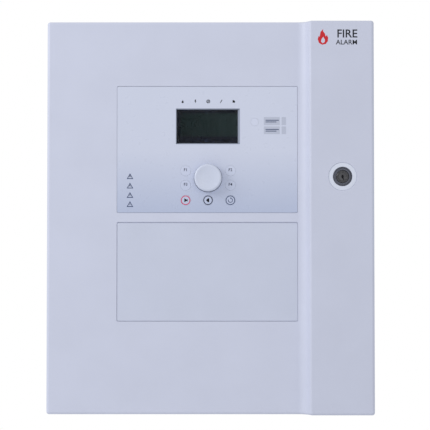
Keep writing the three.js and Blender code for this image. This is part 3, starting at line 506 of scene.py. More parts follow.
class Form:
    """Closed solids under construction, in millimetres: x, depth out from the wall, and z."""

    def __init__(self) -> None:
        """Starts empty."""
        self.mesh = bmesh.new()

    def _ring(self, points: Iterable[Point]) -> list[bmesh.types.BMVert]:
        """Adds one ring of vertices."""
        return [self.mesh.verts.new((x * MM, -d * MM, z * MM)) for x, d, z in points]

    def _band(self, near: Sequence[bmesh.types.BMVert],
              far: Sequence[bmesh.types.BMVert]) -> list[bmesh.types.BMFace]:
        """Joins two rings with faces."""
        turn = [(i, (i + 1) % len(near)) for i in range(len(near))]
        return [self.mesh.faces.new((near[i], near[j], far[j], far[i])) for i, j in turn]

    def loft(self, rings: Sequence[Sequence[Point]], closed: bool = False) -> "Form":
        """Adds a skin over rings with the same number of points.

        Args:
            rings: The rings in order.
            closed: Whether the last ring joins the first, as in a torus. Otherwise both ends are capped.

        Returns:
            The form.
        """
        made = [self._ring(ring) for ring in rings]
        pairs = list(zip(made, made[1:])) + ([(made[-1], made[0])] if closed else [])
        faces = [face for pair in pairs for face in self._band(*pair)]
        if not closed:
            faces += [self.mesh.faces.new(made[0]), self.mesh.faces.new(made[-1])]
        bmesh.ops.recalc_face_normals(self.mesh, faces=faces)
        return self

    def prism(self, outline: Sequence[Flat], d0: float, d1: float) -> "Form":
        """Adds a front-view outline of x and z, given thickness from depth d0 to d1."""
        return self.loft([[(x, d, z) for x, z in outline] for d in (d0, d1)])

    def block(self, x: Flat, d: Flat, z: Flat) -> "Form":
        """Adds a box between two x, two depths and two z."""
        outline = [(x[0], z[0]), (x[1], z[0]), (x[1], z[1]), (x[0], z[1])]
        return self.prism(outline, *d)

    def disc(self, x: float, z: float, radius: float, d: Flat, sides: int = 32) -> "Form":
        """Adds a round bar that runs out from the wall."""
        return self.prism(arc(x, z, radius, 0, 360 * (1 - 1 / sides), sides - 1), *d)

    def post(self, x: float, d: float, radius: float, z: Flat, sides: int = 24) -> "Form":
        """Adds an upright round bar."""
        outline = arc(x, d, radius, 0, 360 * (1 - 1 / sides), sides - 1)
        return self.loft([[(px, pd, height) for px, pd in outline] for height in z])

    def turned(self, x: float, z: float, profile: Sequence[Flat], sides: int = 64) -> "Form":
        """Adds a piece turned about an axis out from the wall.

        Args:
            x: The axis's x.
            z: The axis's z.
            profile: Points of radius and depth. It starts and ends on the axis, or else closes on itself.
            sides: Facets round it.

        Returns:
            The form.
        """
        open_ended = profile[0][0] > 0
        inner = profile if open_ended else profile[1:-1]
        turns = [2 * pi * i / sides for i in range(sides)]
        rings = [[(x + r * cos(a), d, z + r * sin(a)) for a in turns] for r, d in inner]
        if open_ended:
            return self.loft(rings, closed=True)
        made = [self._ring(ring) for ring in rings]
        tips = self._ring([(x, profile[0][1], z), (x, profile[-1][1], z)])
        faces = [face for pair in zip(made, made[1:]) for face in self._band(*pair)]
        for tip, ring in zip(tips, (made[0], made[-1])):
            faces += [self.mesh.faces.new((tip, ring[i], ring[(i + 1) % sides])) for i in range(sides)]
        bmesh.ops.recalc_face_normals(self.mesh, faces=faces)
        return self

    def stroke(self, points: Sequence[Flat], width: float, d: Flat) -> "Form":
        """Adds a printed line of one width through points of x and z."""
        path = [Vector(p) for p in points]
        sides: tuple[list[Flat], list[Flat]] = ([], [])
        for i, point in enumerate(path):
            along = (path[min(i + 1, len(path) - 1)] - path[max(i - 1, 0)]).normalized()
            across = Vector((-along.y, along.x)) * width / 2
            sides[0].append(tuple(point + across))
            sides[1].insert(0, tuple(point - across))
        return self.prism(sides[0] + sides[1], *d)

    def ring(self, x: float, z: float, outer: float, inner: float, d: Flat, sides: int = 64) -> "Form":
        """Adds a flat ring that faces the front."""
        return self.turned(x, z, [(inner, d[0]), (outer, d[0]), (outer, d[1]), (inner, d[1])], sides)

    def tube(self, points: Sequence[Point], radius: float) -> "Form":
        """Adds a round wire along a smooth curve.

        Args:
            points: The route's points of x, depth and z.
            radius: The wire's radius.

        Returns:
            The form.
        """
        sides, sections = 20, 10
        path = smooth_path([Vector(p) for p in points], sections)
        rings = []
        normal = (path[1] - path[0]).orthogonal().normalized()
        for i, point in enumerate(path):
            along = (path[min(i + 1, len(path) - 1)] - path[max(i - 1, 0)]).normalized()
            normal = (normal - along * normal.dot(along)).normalized()
            side = along.cross(normal)
            turns = [2 * pi * k / sides for k in range(sides)]
            rings.append([tuple(point + (normal * cos(a) + side * sin(a)) * radius) for a in turns])
        return self.loft(rings)

    def words(self, text: str, x: float, z: float, size: float, d: Flat) -> "Form":
        """Adds lettering centred on a point.

        Args:
            text: The letters.
            x: The middle in x.
            z: The baseline's z.
            size: The font's size.
            d: The lettering's back and front depths.

        Returns:
            The form.
        """
        curve = bpy.data.curves.new("lettering", "FONT")
        curve.body = text
        curve.size = size
        curve.align_x = "CENTER"
        curve.extrude = (d[1] - d[0]) / 2
        curve.offset = size * 0.014
        curve.resolution_u = 3
        carrier = link("lettering", curve)
        mesh = bpy.data.meshes.new_from_object(carrier.evaluated_get(bpy.context.evaluated_depsgraph_get()))
        upright = Matrix.Rotation(pi / 2, 4, "X")
        middle = Matrix.Translation((x * MM, -(d[0] + d[1]) / 2 * MM, z * MM))
        mesh.transform(middle @ upright @ Matrix.Scale(MM, 4))
        self.mesh.from_mesh(mesh)
        bmesh.ops.remove_doubles(self.mesh, verts=self.mesh.verts, dist=1e-7)
        bpy.data.objects.remove(carrier)
        bpy.data.meshes.remove(mesh)
        return self

    def solid(self, name: str) -> Piece:
        """Turns the form into an object and empties it."""
        mesh = bpy.data.meshes.new(name)
        self.mesh.to_mesh(mesh)
        self.mesh.free()
        return link(name, mesh)


def smooth_path(points: Sequence[Vector], fine: int) -> list[Vector]:
    """A centripetal Catmull-Rom curve through points.

    Args:
        points: The points.
        fine: Sections between two of them.

    Returns:
        Points along the curve.
    """
    padded = [points[0] * 2 - points[1], *points, points[-1] * 2 - points[-2]]
    path = []
    for four in zip(padded, padded[1:], padded[2:], padded[3:]):
        knots = [0.0]
        for near, far in zip(four, four[1:]):
            knots.append(knots[-1] + sqrt((far - near).length))
        for k in range(fine):
            t = knots[1] + (knots[2] - knots[1]) * k / fine
            level = list(four)
            for pairs in (((0, 1), (1, 2), (2, 3)), ((0, 2), (1, 3)), ((1, 2),)):
                shares = [(t - knots[a]) / (knots[b] - knots[a]) for a, b in pairs]
                level = [near * (1 - share) + far * share
                         for near, far, share in zip(level, level[1:], shares)]
            path.append(level[0])
    return [*path, points[-1]]


def settle(piece: Piece) -> Piece:
    """Bakes a piece's modifiers into its mesh.

    Args:
        piece: The object.

    Returns:
        The same object, with no modifier left.
    """
    graph = bpy.context.evaluated_depsgraph_get()
    baked = bpy.data.meshes.new_from_object(piece.evaluated_get(graph))
    piece.modifiers.clear()
    old = piece.data
    piece.data = baked
    baked.name = piece.name
    if not old.users:
        bpy.data.meshes.remove(old)
    return piece


def carve(base: Piece, tools: Sequence[Form], join: bool = False) -> Piece:
    """Cuts forms out of a solid, or joins them to it.

    Args:
        base: The solid.
        tools: The forms.
        join: Whether they are joined instead of cut.

    Returns:
        The base.
    """
    cutters = [tool.solid("cutter") for tool in tools]
    for cutter in cutters:
        step = base.modifiers.new("cut", "BOOLEAN")
        step.operation = "UNION" if join else "DIFFERENCE"
        step.solver = "MANIFOLD"
        step.object = cutter
    settle(base)
    for cutter in cutters:
        bpy.data.objects.remove(cutter)
    return base


def dress(piece: Piece, finish: Finish, body: str = Body.CABINET,
          stands_for: Sequence[str] = (), bevel: float = 0.0, segments: int = 2) -> Piece:
    """Finishes a piece: rounds its edges, smooths it, gives it a material and puts it on its body.

    Args:
        piece: The object.
        finish: Its finish.
        body: The body it rides on.
        stands_for: CAD nodes that it replaces.
        bevel: The radius of its edges, or 0 to leave them.
        segments: Steps across a rounded edge.

    Returns:
        The piece.
    """
    piece.data.materials.clear()
    piece.data.materials.append(finish.material())
    if bevel:
        edge = piece.modifiers.new("edges", "BEVEL")
        edge.width = bevel * MM
        edge.segments = segments
        edge.limit_method = "ANGLE"
        edge.angle_limit = SMOOTH
        settle(piece)
    piece.data.shade_smooth()
    piece.data.set_sharp_from_angle(angle=SMOOTH)
    weigh = piece.modifiers.new("normals", "WEIGHTED_NORMAL")
    weigh.keep_sharp = True
    settle(piece)
    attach(piece, body)
    if stands_for:
        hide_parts(*stands_for)
    LOG.info("%s: %d faces on %s", piece.name, len(piece.data.polygons), body)
    return piece


def refine(node: str, finish: Finish, body: str = Body.CABINET, bevel: float = 0.2) -> Piece:
    """Makes a clean, soft-edged copy of a CAD node that stands for it.

    Args:
        node: The node.
        finish: Its finish.
        body: Its body.
        bevel: The radius of its edges.

    Returns:
        The new piece.
    """
    work = bmesh.new()
    work.from_mesh(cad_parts[node].data)
    bmesh.ops.remove_doubles(work, verts=work.verts, dist=1e-6)
    flat = {"angle_limit": radians(0.6), "verts": work.verts, "edges": work.edges}
    bmesh.ops.dissolve_limit(work, use_dissolve_boundaries=False, **flat)
    mesh = bpy.data.meshes.new(node + "_fine")
    work.to_mesh(mesh)
    work.free()
    return dress(link(node + "_fine", mesh), finish, body, [node], bevel)


class Recipe(NodeTree):
    """A Geometry Nodes tree that makes repeated things, with named inputs for its sizes."""

    def __init__(self, name: str) -> None:
        """Starts a tree.

        Args:
            name: The tree's name.
        """
        super().__init__(bpy.data.node_groups.new(name, "GeometryNodeTree"))
        self.tree.is_modifier = True
        for end in ("OUTPUT", "INPUT"):
            self.tree.interface.new_socket("Geometry", in_out=end, socket_type="NodeSocketGeometry")
        self.entry = self.tree.nodes.new("NodeGroupInput")
        self.keys: dict[str, str] = {}

    def size(self, label: str, value: float | int | Point) -> Socket:
        """Adds a named input.

        Args:
            label: Its name.
            value: Its default: a whole number, a length in metres, or a vector.

        Returns:
            The socket that gives it.
        """
        kind = {int: "NodeSocketInt", float: "NodeSocketFloat", tuple: "NodeSocketVector"}[type(value)]
        item = self.tree.interface.new_socket(label, in_out="INPUT", socket_type=kind)
        item.default_value = value
        self.keys[label] = item.identifier
        return self.entry.outputs[label]

    def vector(self, x: object = 0.0, y: object = 0.0, z: object = 0.0) -> Socket:
        """Puts three values together."""
        return self.add("ShaderNodeCombineXYZ", {0: x, 1: y, 2: z}).outputs[0]

    def times(self, first: object, second: object) -> Socket:
        """Multiplies two values."""
        return self.add("ShaderNodeMath", {0: first, 1: second}, operation="MULTIPLY").outputs[0]

    def cube(self, size: object, at: object) -> Socket:
        """Adds a box of a size, centred on a place."""
        box = self.add("GeometryNodeMeshCube", {"Size": size}).outputs["Mesh"]
        return self.add("GeometryNodeTransform", {"Geometry": box, "Translation": at}).outputs[0]

    def bar(self, radius: object, length: object, at: object, sides: int) -> Socket:
        """Adds a round bar centred on a place, along the depth axis."""
        inputs = {"Vertices": sides, "Radius": radius, "Depth": length}
        mesh = self.add("GeometryNodeMeshCylinder", inputs).outputs["Mesh"]
        turned = {"Geometry": mesh, "Translation": at, "Rotation": (pi / 2, 0.0, 0.0)}
        return self.add("GeometryNodeTransform", turned).outputs[0]

    def join(self, *parts: Socket) -> Socket:
        """Puts parts together."""
        node = self.tree.nodes.new("GeometryNodeJoinGeometry")
        for part in reversed(parts):
            self.tree.links.new(part, node.inputs[0])
        return node.outputs[0]

    def cut(self, body: Socket, *tools: Socket) -> Socket:
        """Cuts tools out of a body."""
        node = self.add("GeometryNodeMeshBoolean", {0: body}, operation="DIFFERENCE", solver="MANIFOLD")
        for tool in tools:
            self.tree.links.new(tool, node.inputs[1])
        return node.outputs[0]

    def repeat(self, points: Socket, part: Socket,
               **more: object) -> Socket:
        """Puts a copy of a part at each point, with further inputs such as Rotation or Scale."""
        inputs = {"Points": points, "Instance": part, **more}
        return self.add("GeometryNodeInstanceOnPoints", inputs).outputs[0]

    def steps(self, count: Socket) -> Socket:
        """Sets points at even steps along the base's edges."""
        path = self.add("GeometryNodeMeshToCurve", {0: self.entry.outputs[0]}).outputs[0]
        return self.add("GeometryNodeResampleCurve", {"Curve": path, "Count": count}).outputs[0]

    def end(self, result: Socket, finish: Finish) -> "Recipe":
        """Ends the tree: makes the copies real and sets their material.

        Args:
            result: What the tree makes.
            finish: Its finish.

        Returns:
            The recipe.
        """
        real = self.add("GeometryNodeRealizeInstances", {0: result}).outputs[0]
        painted = self.add("GeometryNodeSetMaterial", {0: real, "Material": finish.material()}).outputs[0]
        sink = self.tree.nodes.new("NodeGroupOutput")
        self.tree.links.new(painted, sink.inputs[0])
        return self

    def make(self, name: str, points: Sequence[Point], edges: Sequence[tuple[int, int]] = (),
             **values: object) -> Piece:
        """Runs the tree on a few points and bakes what it makes.

        Args:
            name: The new object's name.
            points: The base's points of x, depth and z, in millimetres.
            edges: The base's edges, as pairs of point numbers.
            **values: Sizes for the named inputs, with spaces written as underscores.

        Returns:
            The baked object.
        """
        base = bpy.data.meshes.new(name)
        base.from_pydata([(x * MM, -d * MM, z * MM) for x, d, z in points], list(edges), [])
        piece = link(name, base)
        run = piece.modifiers.new("make", "NODES")
        run.node_group = self.tree
        for label, value in values.items():
            run[self.keys[label.replace("_", " ")]] = value
        return settle(piece)

    def along(self, name: str, lines: Sequence[Line], **values: object) -> Piece:
        """Runs the tree along straight lines, each given by its two ends."""
        pairs = [(2 * i, 2 * i + 1) for i in range(len(lines))]
        return self.make(name, [end for line in lines for end in line], pairs, **values)


# ---- the room


@dataclass
class Studio:
    """The camera, the soft lights, the white surround and the floor."""

    aim: Point = (0.0056, -0.099, 0.0027)
    distance: float = 1.5
    rise: float = radians(-1.63)
    lens: float = 110.3
    floor_z: float = -0.46

    def camera(self) -> None:
        """Sets the camera in front of the cover, a little below its middle."""
        data = bpy.data.cameras.new("camera")
        data.lens = self.lens
        camera = link("camera", data)
        back = Vector((0.0, -cos(self.rise), sin(self.rise))) * self.distance
        camera.location = Vector(self.aim) + back
        camera.rotation_euler = (pi / 2 - self.rise, 0.0, 0.0)
        bpy.context.scene.camera = camera

    def surround(self) -> None:
        """Makes the surround white to look at and softer as a light."""
        world = bpy.data.worlds.new("surround")
        world.use_nodes = True
        room = NodeTree(world.node_tree)
        seen = room.tree.nodes["Background"]
        seen.inputs["Color"].default_value = (1.0, 1.0, 1.0, 1.0)
        glow = room.add("ShaderNodeBackground", {"Color": (0.97, 0.985, 1.0, 1.0), "Strength": 0.68})
        sight = room.add("ShaderNodeLightPath").outputs["Is Camera Ray"]
        either = room.add("ShaderNodeMixShader", {0: sight, 1: glow.outputs[0], 2: seen.outputs[0]})
        room.tree.links.new(either.outputs[0], room.tree.nodes["World Output"].inputs["Surface"])
        bpy.context.scene.world = world
        bpy.context.scene.view_settings.view_transform = "Standard"
        bpy.context.scene.view_settings.look = "None"

    def light(self, name: str, place: Point, size: float, power: float) -> None:
        """Adds a square soft light that faces the cover.

        Args:
            name: The light's name.
            place: Where it stands.
            size: Its side in metres.
            power: Its power in watts.
        """
        data = bpy.data.lights.new(name, "AREA")
        data.size = size
        data.energy = power
        lamp = link(name, data)
        lamp.location = place
        lamp.rotation_euler = (Vector(self.aim) - Vector(place)).to_track_quat("-Z", "Y").to_euler()

    def floor(self) -> None:
        """Lays a pale floor under the panel."""
        slab = Form().block((-1300, 1300), (-800, 1500), (self.floor_z / MM - 20, self.floor_z / MM))
        floor = slab.solid("floor")
        pale = Finish("floor", linear(236, 237, 240), "", roughness=0.6, grain=2.0)
        floor.data.materials.append(pale.material())

    def build(self) -> None:
        """Sets up the whole room."""
        self.camera()
        self.surround()
        self.light("key_light", (-1.7, -0.95, 0.95), 1.1, 18.9)
        self.light("fill_light", (0.9, -2.2, 0.7), 1.6, 5.5)
        self.floor()


# ---- the cover


@dataclass
class Controls:
    """Where the dial, the keys and the display's opening stand, read from the CAD model."""

    dial: Extent = box_of("dial_knob")
    film: Extent = box_of("overlay_film")
    blank: Extent = box_of("blank_panel")
    pane: Extent = box_of("display_window")
    barrel: Extent = box_of("lock_barrel")
    names: tuple[str, ...] = ("key_f1", "key_f2", "key_f3", "key_f4", "key_start", "key_silence",
                              "key_reset", "key_delay")
    flange: float = 1.6
    key_gap: float = 0.35
    dial_gap: float = 0.6
    opening: Flat = (73.0, 40.8)

    def key(self, name: str) -> tuple[float, float, float]:
        """A key's x, z and radius."""
        extent = Extent.of(name)
        return extent.x, extent.z, extent.width / 2 - self.flange

    def holes(self, d0: float, d1: float, edge: float) -> list[Form]:
        """Round cutters for the keys and the dial.

        Args:
            d0: Their back.
            d1: The surface that they open in.
            edge: The radius of the rim there.

        Returns:
            The cutters.
        """
        places = [(x, z, r + self.key_gap) for x, z, r in map(self.key, self.names)]
        places.append((self.dial.x, self.dial.z, self.dial.width / 2 + self.dial_gap))
        return [sunk_disc(x, z, r, d0, d1, edge) for x, z, r in places]

    def window(self, grow: float = 0.0) -> list[Flat]:
        """The display opening's outline on the cover's face."""
        w, h = self.opening[0] / 2 + grow, self.opening[1] / 2 + grow
        x, z = self.pane.x, self.pane.z
        return [(x - w, z - h), (x + w, z - h), (x + w, z + h), (x - w, z + h)]


def rim(edge: float) -> list[Flat]:
    """The steps of a rounded rim: pairs of how far outwards and how far below the surface."""
    turns = quarter(4) if edge else [pi / 2]
    return [(edge * (1 - cos(a)), edge * (1 - sin(a))) for a in turns]


def sunk_disc(x: float, z: float, radius: float, d0: float, d1: float, edge: float) -> Form:
    """A cutter for a round hole from its floor d0 to its surface d1, with a soft rim there."""
    wall = [(radius + out, d1 - down) for out, down in rim(edge)]
    return Form().turned(x, z, [(0, d0), (radius, d0), *wall, (radius + edge, d1 + 1), (0, d1 + 1)], 72)


def sunk_rect(sides: tuple[float, float, float, float], radius: float, d0: float, d1: float,
              edge: float) -> Form:
    """A cutter for a rectangular seat with round corners and a soft rim.

    Args:
        sides: Its left, right, lower and upper edges.
        radius: Its corner radius.
        d0: Its floor.
        d1: The surface it opens in.
        edge: The radius of the rim.

    Returns:
        The cutter.
    """
    x0, x1, z0, z1 = sides

    def ring(out: float, d: float) -> list[Point]:
        """One level of the cutter."""
        outline = round_rect(x0 - out, x1 + out, z0 - out, z1 + out, radius + out)
        return [(x, d, z) for x, z in outline]

    levels = [(0.0, d0), *[(out, d1 - down) for out, down in rim(edge)], (edge, d1 + 1)]
    return Form().loft([ring(out, d) for out, d in levels])


@dataclass
class Cover:
    """The moulded cover: a shallow lid with a raised band on its right that holds the lock."""

    controls: Controls
    box: Extent = box_of("door_cover")
    wall: float = 2.5
    face: float = 99.0
    back: float = 30.0
    corner: float = 3.5
    end: float = 3.0
    band_width: float = 70.5
    lean: float = 58.0
    foot: float = 12.0
    seat_depth: float = 1.3
    seat_side: float = 0.5
    seat_radius: float = 1.5
    ledge: float = 5.0
    dish_radius: float = 16.2
    dish_depth: float = 1.8
    boss: float = 3.5
    lug: float = 8.0
    ear: float = 4.4
    post: float = 3.6
    post_back: float = 87.4
    pilot: float = 1.6
    pilot_front: float = 93.1
    lock_bore: float = 8.3
    pin_bore: float = 2.3
    edge: float = 0.3

    @property
    def band_face(self) -> float:
        """The depth of the band's face."""
        return self.box.d1

    def outline(self, inset: float, back: float) -> list[Flat]:
        """The cover's plan section, moved in from its surface.

        Args:
            inset: How far in.
            back: Where the skirt ends.

        Returns:
            Points of x and depth.
        """
        half, c, tilt = self.box.x1, self.corner, radians(self.lean)
        left = half - self.band_width
        rise = self.band_face - self.face
        ramp = (rise - (self.foot + c) * (1 - cos(tilt))) / sin(tilt)
        toe = left - (self.foot + c) * sin(tilt) - ramp * cos(tilt)
        out, hollow = c - inset, self.foot + inset
        return [
            (inset - half, back),
            *arc(c - half, self.face - c, out, 180, 90, 10),
            *arc(toe, self.face + self.foot, hollow, -90, self.lean - 90, 14),
            *arc(left, self.band_face - c, out, 90 + self.lean, 90, 8),
            *arc(half - c, self.band_face - c, out, 90, 0, 10),
            (half - inset, back),
        ]

    def form(self) -> Form:
        """The outer form, with its top and bottom edges rounded."""
        rings = []
        for side in (-1, 1):
            turns = quarter(8)
            for a in turns if side > 0 else reversed(turns):
                z = side * (self.box.z1 - self.end * (1 - sin(a)))
                plan = self.outline(self.end * (1 - cos(a)), self.back)
                rings.append([(x, d, z) for x, d in plan])
        return Form().loft(rings)

    def cavity(self) -> Form:
        """The hollow of the cover."""
        plan = self.outline(self.wall, self.back - 1)
        reach = self.box.z1 - self.wall
        return Form().loft([[(x, d, z) for x, d in plan] for z in (-reach, reach)])

    def fittings(self) -> list[Form]:
        """The hinge lugs, the lock's boss and the posts behind the face, all joined to the shell."""
        inside = self.face - self.wall
        made = []
        pin = Extent.of("hinge_pin_upper")
        for name in BRACKETS:
            z = Extent.of(name).z + 0.3
            span = (z, z + self.lug)
            d = (pin.d0 + pin.d1) / 2
            made.append(Form().block((1 - self.box.x1, pin.x), (d - self.ear + 0.4, d + self.ear), span))
            made.append(Form().post(pin.x, d, self.ear, span, 32))
        lock = self.controls.barrel
        behind = self.band_face - self.wall
        made.append(Form().disc(lock.x, lock.z, self.dish_radius, (behind - self.boss, behind + 0.5), 72))
        for name in DOOR_SCREWS:
            spot = Extent.of(name)
            made.append(Form().disc(spot.x, spot.z, self.post, (self.post_back, inside + 0.5), 28))
        return made

    def seats(self) -> list[Form]:
        """The seats for the film and the blank, and the openings in the face."""
        controls, inside, s = self.controls, self.face - self.wall, self.seat_side
        floor = self.face - self.seat_depth
        cuts = []
        for piece in (controls.film, controls.blank):
            sides = (piece.x0 - s, piece.x1 + s, piece.z0 - s, piece.z1 + s)
            cuts.append(sunk_rect(sides, self.seat_radius, floor, self.face, self.edge))
        blank, ledge = controls.blank, self.ledge + s
        cuts.append(Form().block((blank.x0 - s + self.ledge, blank.x1 + s - self.ledge),
                                 (inside - 1, self.face + 1), (blank.z0 + ledge - 2 * s,
                                                               blank.z1 - ledge + 2 * s)))
        levels = [(inside - 1, -0.8), (inside, -0.8), (floor + 0.01, 0.0), (floor + 0.5, 0.0)]
        cuts.append(Form().loft([[(x, d, z) for x, z in controls.window(grow)] for d, grow in levels]))
        cuts += controls.holes(inside - 1, floor, 0.2)
        return cuts

    def dish(self) -> Form:
        """The shallow hollow round the lock's head."""
        lock = self.controls.barrel
        floor = self.band_face - self.dish_depth
        return sunk_disc(lock.x, lock.z, self.dish_radius - 0.2, floor, self.band_face, 0.25)

    def bores(self) -> list[Form]:
        """The lock's hole, the pins' holes and the screws' holes."""
        lock, pin = self.controls.barrel, Extent.of("hinge_pin_upper")
        cuts = [Form().disc(lock.x, lock.z, self.lock_bore, (self.band_face - 20, self.band_face), 48)]
        for name in DOOR_SCREWS:
            spot = Extent.of(name)
            cuts.append(Form().disc(spot.x, spot.z, self.pilot, (86, self.pilot_front), 20))
        for name in BRACKETS:
            z = Extent.of(name).z
            cuts.append(Form().post(pin.x, (pin.d0 + pin.d1) / 2, self.pin_bore,
                                    (z - 1, z + self.lug + 2), 24))
        return cuts

    def build(self) -> None:
        """Moulds the cover."""
        shell = self.form().solid("cover_shell")
        carve(shell, [self.cavity()])
        carve(shell, self.fittings(), join=True)
        carve(shell, [*self.seats(), self.dish(), *self.bores()])
        dress(shell, COVER_PLASTIC, Body.DOOR, ["door_cover"])


@dataclass
class BlankPlate:
    """The plate that closes the lower opening and clips behind its ledge."""

    controls: Controls
    thick: float = 1.0
    radius: float = 1.5
    edge: float = 0.35
    ledge: float = 5.0
    clip_reach: float = 51.5
    clip_half: float = 12.0
    clip_back: float = 93.9
    leg_front: float = 98.4
    barb_front: float = 96.2

    def build(self) -> None:
        """Moulds the plate with a soft front edge, and its clips."""
        node, r = self.controls.blank, self.radius
        rings = [(0.0, node.d1 - self.thick)]
        rings += [(e, node.d1 - down) for e, down in
                  ((out, self.edge - out) for out in (0.0, 0.1, 0.2, 0.28, 0.35))]
        top, right = node.z1 - 0.5, node.x1 + 0.3
        levels = [[(x, d, z) for x, z in round_rect(node.x0 + e, right - e, node.z0 + e, top - e, r)]
                  for e, d in rings]
        plate = Form().loft(levels).solid("blank_plate")
        clips = []
        for upper in (True, False):
            up = 1 if upper else -1
            inner = (node.z1 + 0.5 - self.ledge) if upper else (node.z0 - 0.5 + self.ledge)
            for x in (node.x - self.clip_reach, node.x + self.clip_reach):
                wide = (x - self.clip_half, x + self.clip_half)
                leg = sorted((inner - up * 0.3, inner - up * 2))
                barb = sorted((inner + up * 1.2, inner - up * 2))
                clips.append(Form().block(wide, (self.clip_back, self.leg_front), tuple(leg)))
                clips.append(Form().block(wide, (self.clip_back, self.barb_front), tuple(barb)))
        carve(plate, clips, join=True)
        dress(plate, BLANK_PLASTIC, Body.DOOR, ["blank_panel"])


# ---- the film and its prints


# The film and the key caps share the painted reflection that deepens and blues their colour downwards.
FILM_TINT = ReflectionTintedFilm("film", linear(205, 210, 228), "film", roughness=0.3, mottle=0.015,
                        low_colour=linear(180, 189, 214))
KEY_TINT = ReflectionTintedFilm("key_cap", linear(207, 212, 231), "key_plastic", roughness=0.32, mottle=0.01,
                       low_colour=linear(184, 193, 218))


class Icon(Enum):
    """Outlines of the printed signs, in shares of their half size."""

    FLAME = ((-0.5, -0.9), (0.3, -0.95), (0.62, -0.4), (0.5, 0.15), (0.25, -0.05), (0.3, 0.5), (-0.1, 0.95),
             (-0.05, 0.4), (-0.4, 0.1), (-0.62, -0.4))
    BOLT = ((-0.15, -1.0), (0.5, 0.15), (0.1, 0.15), (0.4, 1.0), (-0.2, 1.0), (-0.5, -0.1), (-0.1, -0.1))
    PEN = ((-0.65, -0.95), (-0.2, -0.8), (0.7, 0.75), (0.4, 0.95), (-0.5, -0.6))
    PLAY = ((-0.6, -0.85), (0.85, 0.0), (-0.6, 0.85))
    SOUNDER = ((-0.9, 0.0), (-0.1, -0.75), (0.35, -0.75), (0.35, 0.75), (-0.1, 0.75))
    SQUARE = ((-0.7, -0.7), (0.7, -0.7), (0.7, 0.1), (0.1, 0.7), (-0.7, 0.7))
    TRIANGLE = ((-1.0, -0.88), (1.0, -0.88), (0.0, 0.88))
    HEAD = ((0.0, -0.8), (0.9, 0.0), (0.0, 0.8))

    def at(self, x: float, z: float, half: float, turn: float = 0.0) -> list[Flat]:
        """Places the outline about x and z, with half its size and its turn in degrees."""
        c, s = cos(radians(turn)), sin(radians(turn))
        return [(x + half * (px * c - pz * s), z + half * (px * s + pz * c)) for px, pz in self.value]


@dataclass
class Overlay:
    """The film over the controls, with the signs printed on it."""

    controls: Controls
    radius: float = 1.5
    ink: float = 0.03
    status_z: float = 132.4
    status_pitch: float = 14.6
    caution_inset: float = 14.4
    caution_rows: tuple[float, ...] = (47.0, 36.3, 25.6, 15.2)
    label_sides: Flat = (61.3, 86.6)
    label_split: float = 80.4
    label_rows: tuple[Flat, ...] = ((105.3, 114.5), (95.0, 103.8))

    @property
    def span(self) -> Flat:
        """The depths of a print on the film's face."""
        front = self.controls.film.d1
        return front - 0.01, front + self.ink

    def film(self) -> None:
        """Cuts the film."""
        node = self.controls.film
        sides = (node.x0 - 0.32, node.x1 + 0.12, node.z0 - 0.15, node.z1 + 0.1)
        sheet = Form().prism(round_rect(*sides, self.radius), node.d0, node.d1)
        film = sheet.solid("front_film")
        window = Form().prism(self.controls.window(), node.d0 - 1, node.d1 + 1)
        snug = [sunk_disc(x, z, r + 0.1, node.d0 - 1, node.d1, 0.0)
                for x, z, r in map(self.controls.key, self.controls.names)]
        dial = self.controls.dial
        round_dial = sunk_disc(dial.x, dial.z, dial.width / 2 + 0.45, node.d0 - 1, node.d1, 0.0)
        carve(film, [window, round_dial, *snug])
        dress(film, FILM_TINT, Body.DOOR, ["overlay_film"])

    def prints(self, name: str, form: Form, finish: Finish) -> None:
        """Lays a print on the film."""
        dress(form.solid(name), finish, Body.DOOR)

    def status_signs(self) -> None:
        """Prints the row of signs over the display."""
        x, z, pitch, span = self.controls.pane.x + 0.4, self.status_z, self.status_pitch, self.span
        signs = Form()
        signs.prism(Icon.FLAME.at(x - 2 * pitch, z, 2.0), *span)
        signs.prism(Icon.BOLT.at(x - pitch, z, 2.1), *span)
        signs.ring(x, z, 2.1, 1.3, span, 32)
        signs.stroke([(x - 1.0, z - 1.0), (x + 1.0, z + 1.0)], 0.75, span)
        signs.prism(Icon.PEN.at(x + pitch, z, 2.1), *span)
        signs.prism(Icon.SQUARE.at(x + 2 * pitch, z, 2.0), *span)
        self.prints("status_signs", signs, BLACK_INK_AND_SHADE)

    def caution_signs(self) -> None:
        """Prints the column of small triangles on the left."""
        x = self.controls.film.x0 + self.caution_inset
        for i, z in enumerate(self.caution_rows):
            sign = Form().prism(Icon.TRIANGLE.at(x, z, 3.75), *self.span).solid(f"caution_sign_{i + 1}")
            inner = Form().prism(Icon.TRIANGLE.at(x, z - 0.35, 2.35), self.span[0] - 1, self.span[1] + 1)
            carve(sign, [inner])
            dress(sign, SLATE_INK, Body.DOOR)
            mark = Form().prism(Icon.BOLT.at(x, z - 0.55, 1.5 - 0.12 * i), *self.span)
            self.prints(f"caution_mark_{i + 1}", mark, NAVY_INK)

    def label_fields(self) -> None:
        """Prints the two label fields on the right, with rules instead of lettering."""
        (x0, x1), split = self.label_sides, self.label_split
        fields, bars = Form(), Form()
        for z0, z1 in self.label_rows:
            fields.prism(round_rect(x0, split - 0.9, z0, z1, 0.6), *self.span)
            fields.prism(round_rect(split + 1.2, x1, z0, z1, 0.6), *self.span)
            middle = (z0 + z1) / 2
            front = (self.span[1] - 0.005, self.span[1] + 0.02)
            for k, reach in enumerate((1.0, 0.82)):
                z = middle + 0.95 - 1.9 * k
                bars.block((x0 + 2.0, x0 + 2.0 + (split - x0 - 4) * reach), front, (z - 0.45, z + 0.45))
        self.prints("label_fields", fields, GREY_INK)
        self.prints("label_rules", bars, SLATE_INK)

    def build(self) -> None:
        """Makes the film and its prints."""
        self.film()
        self.status_signs()
        self.caution_signs()
        self.label_fields()


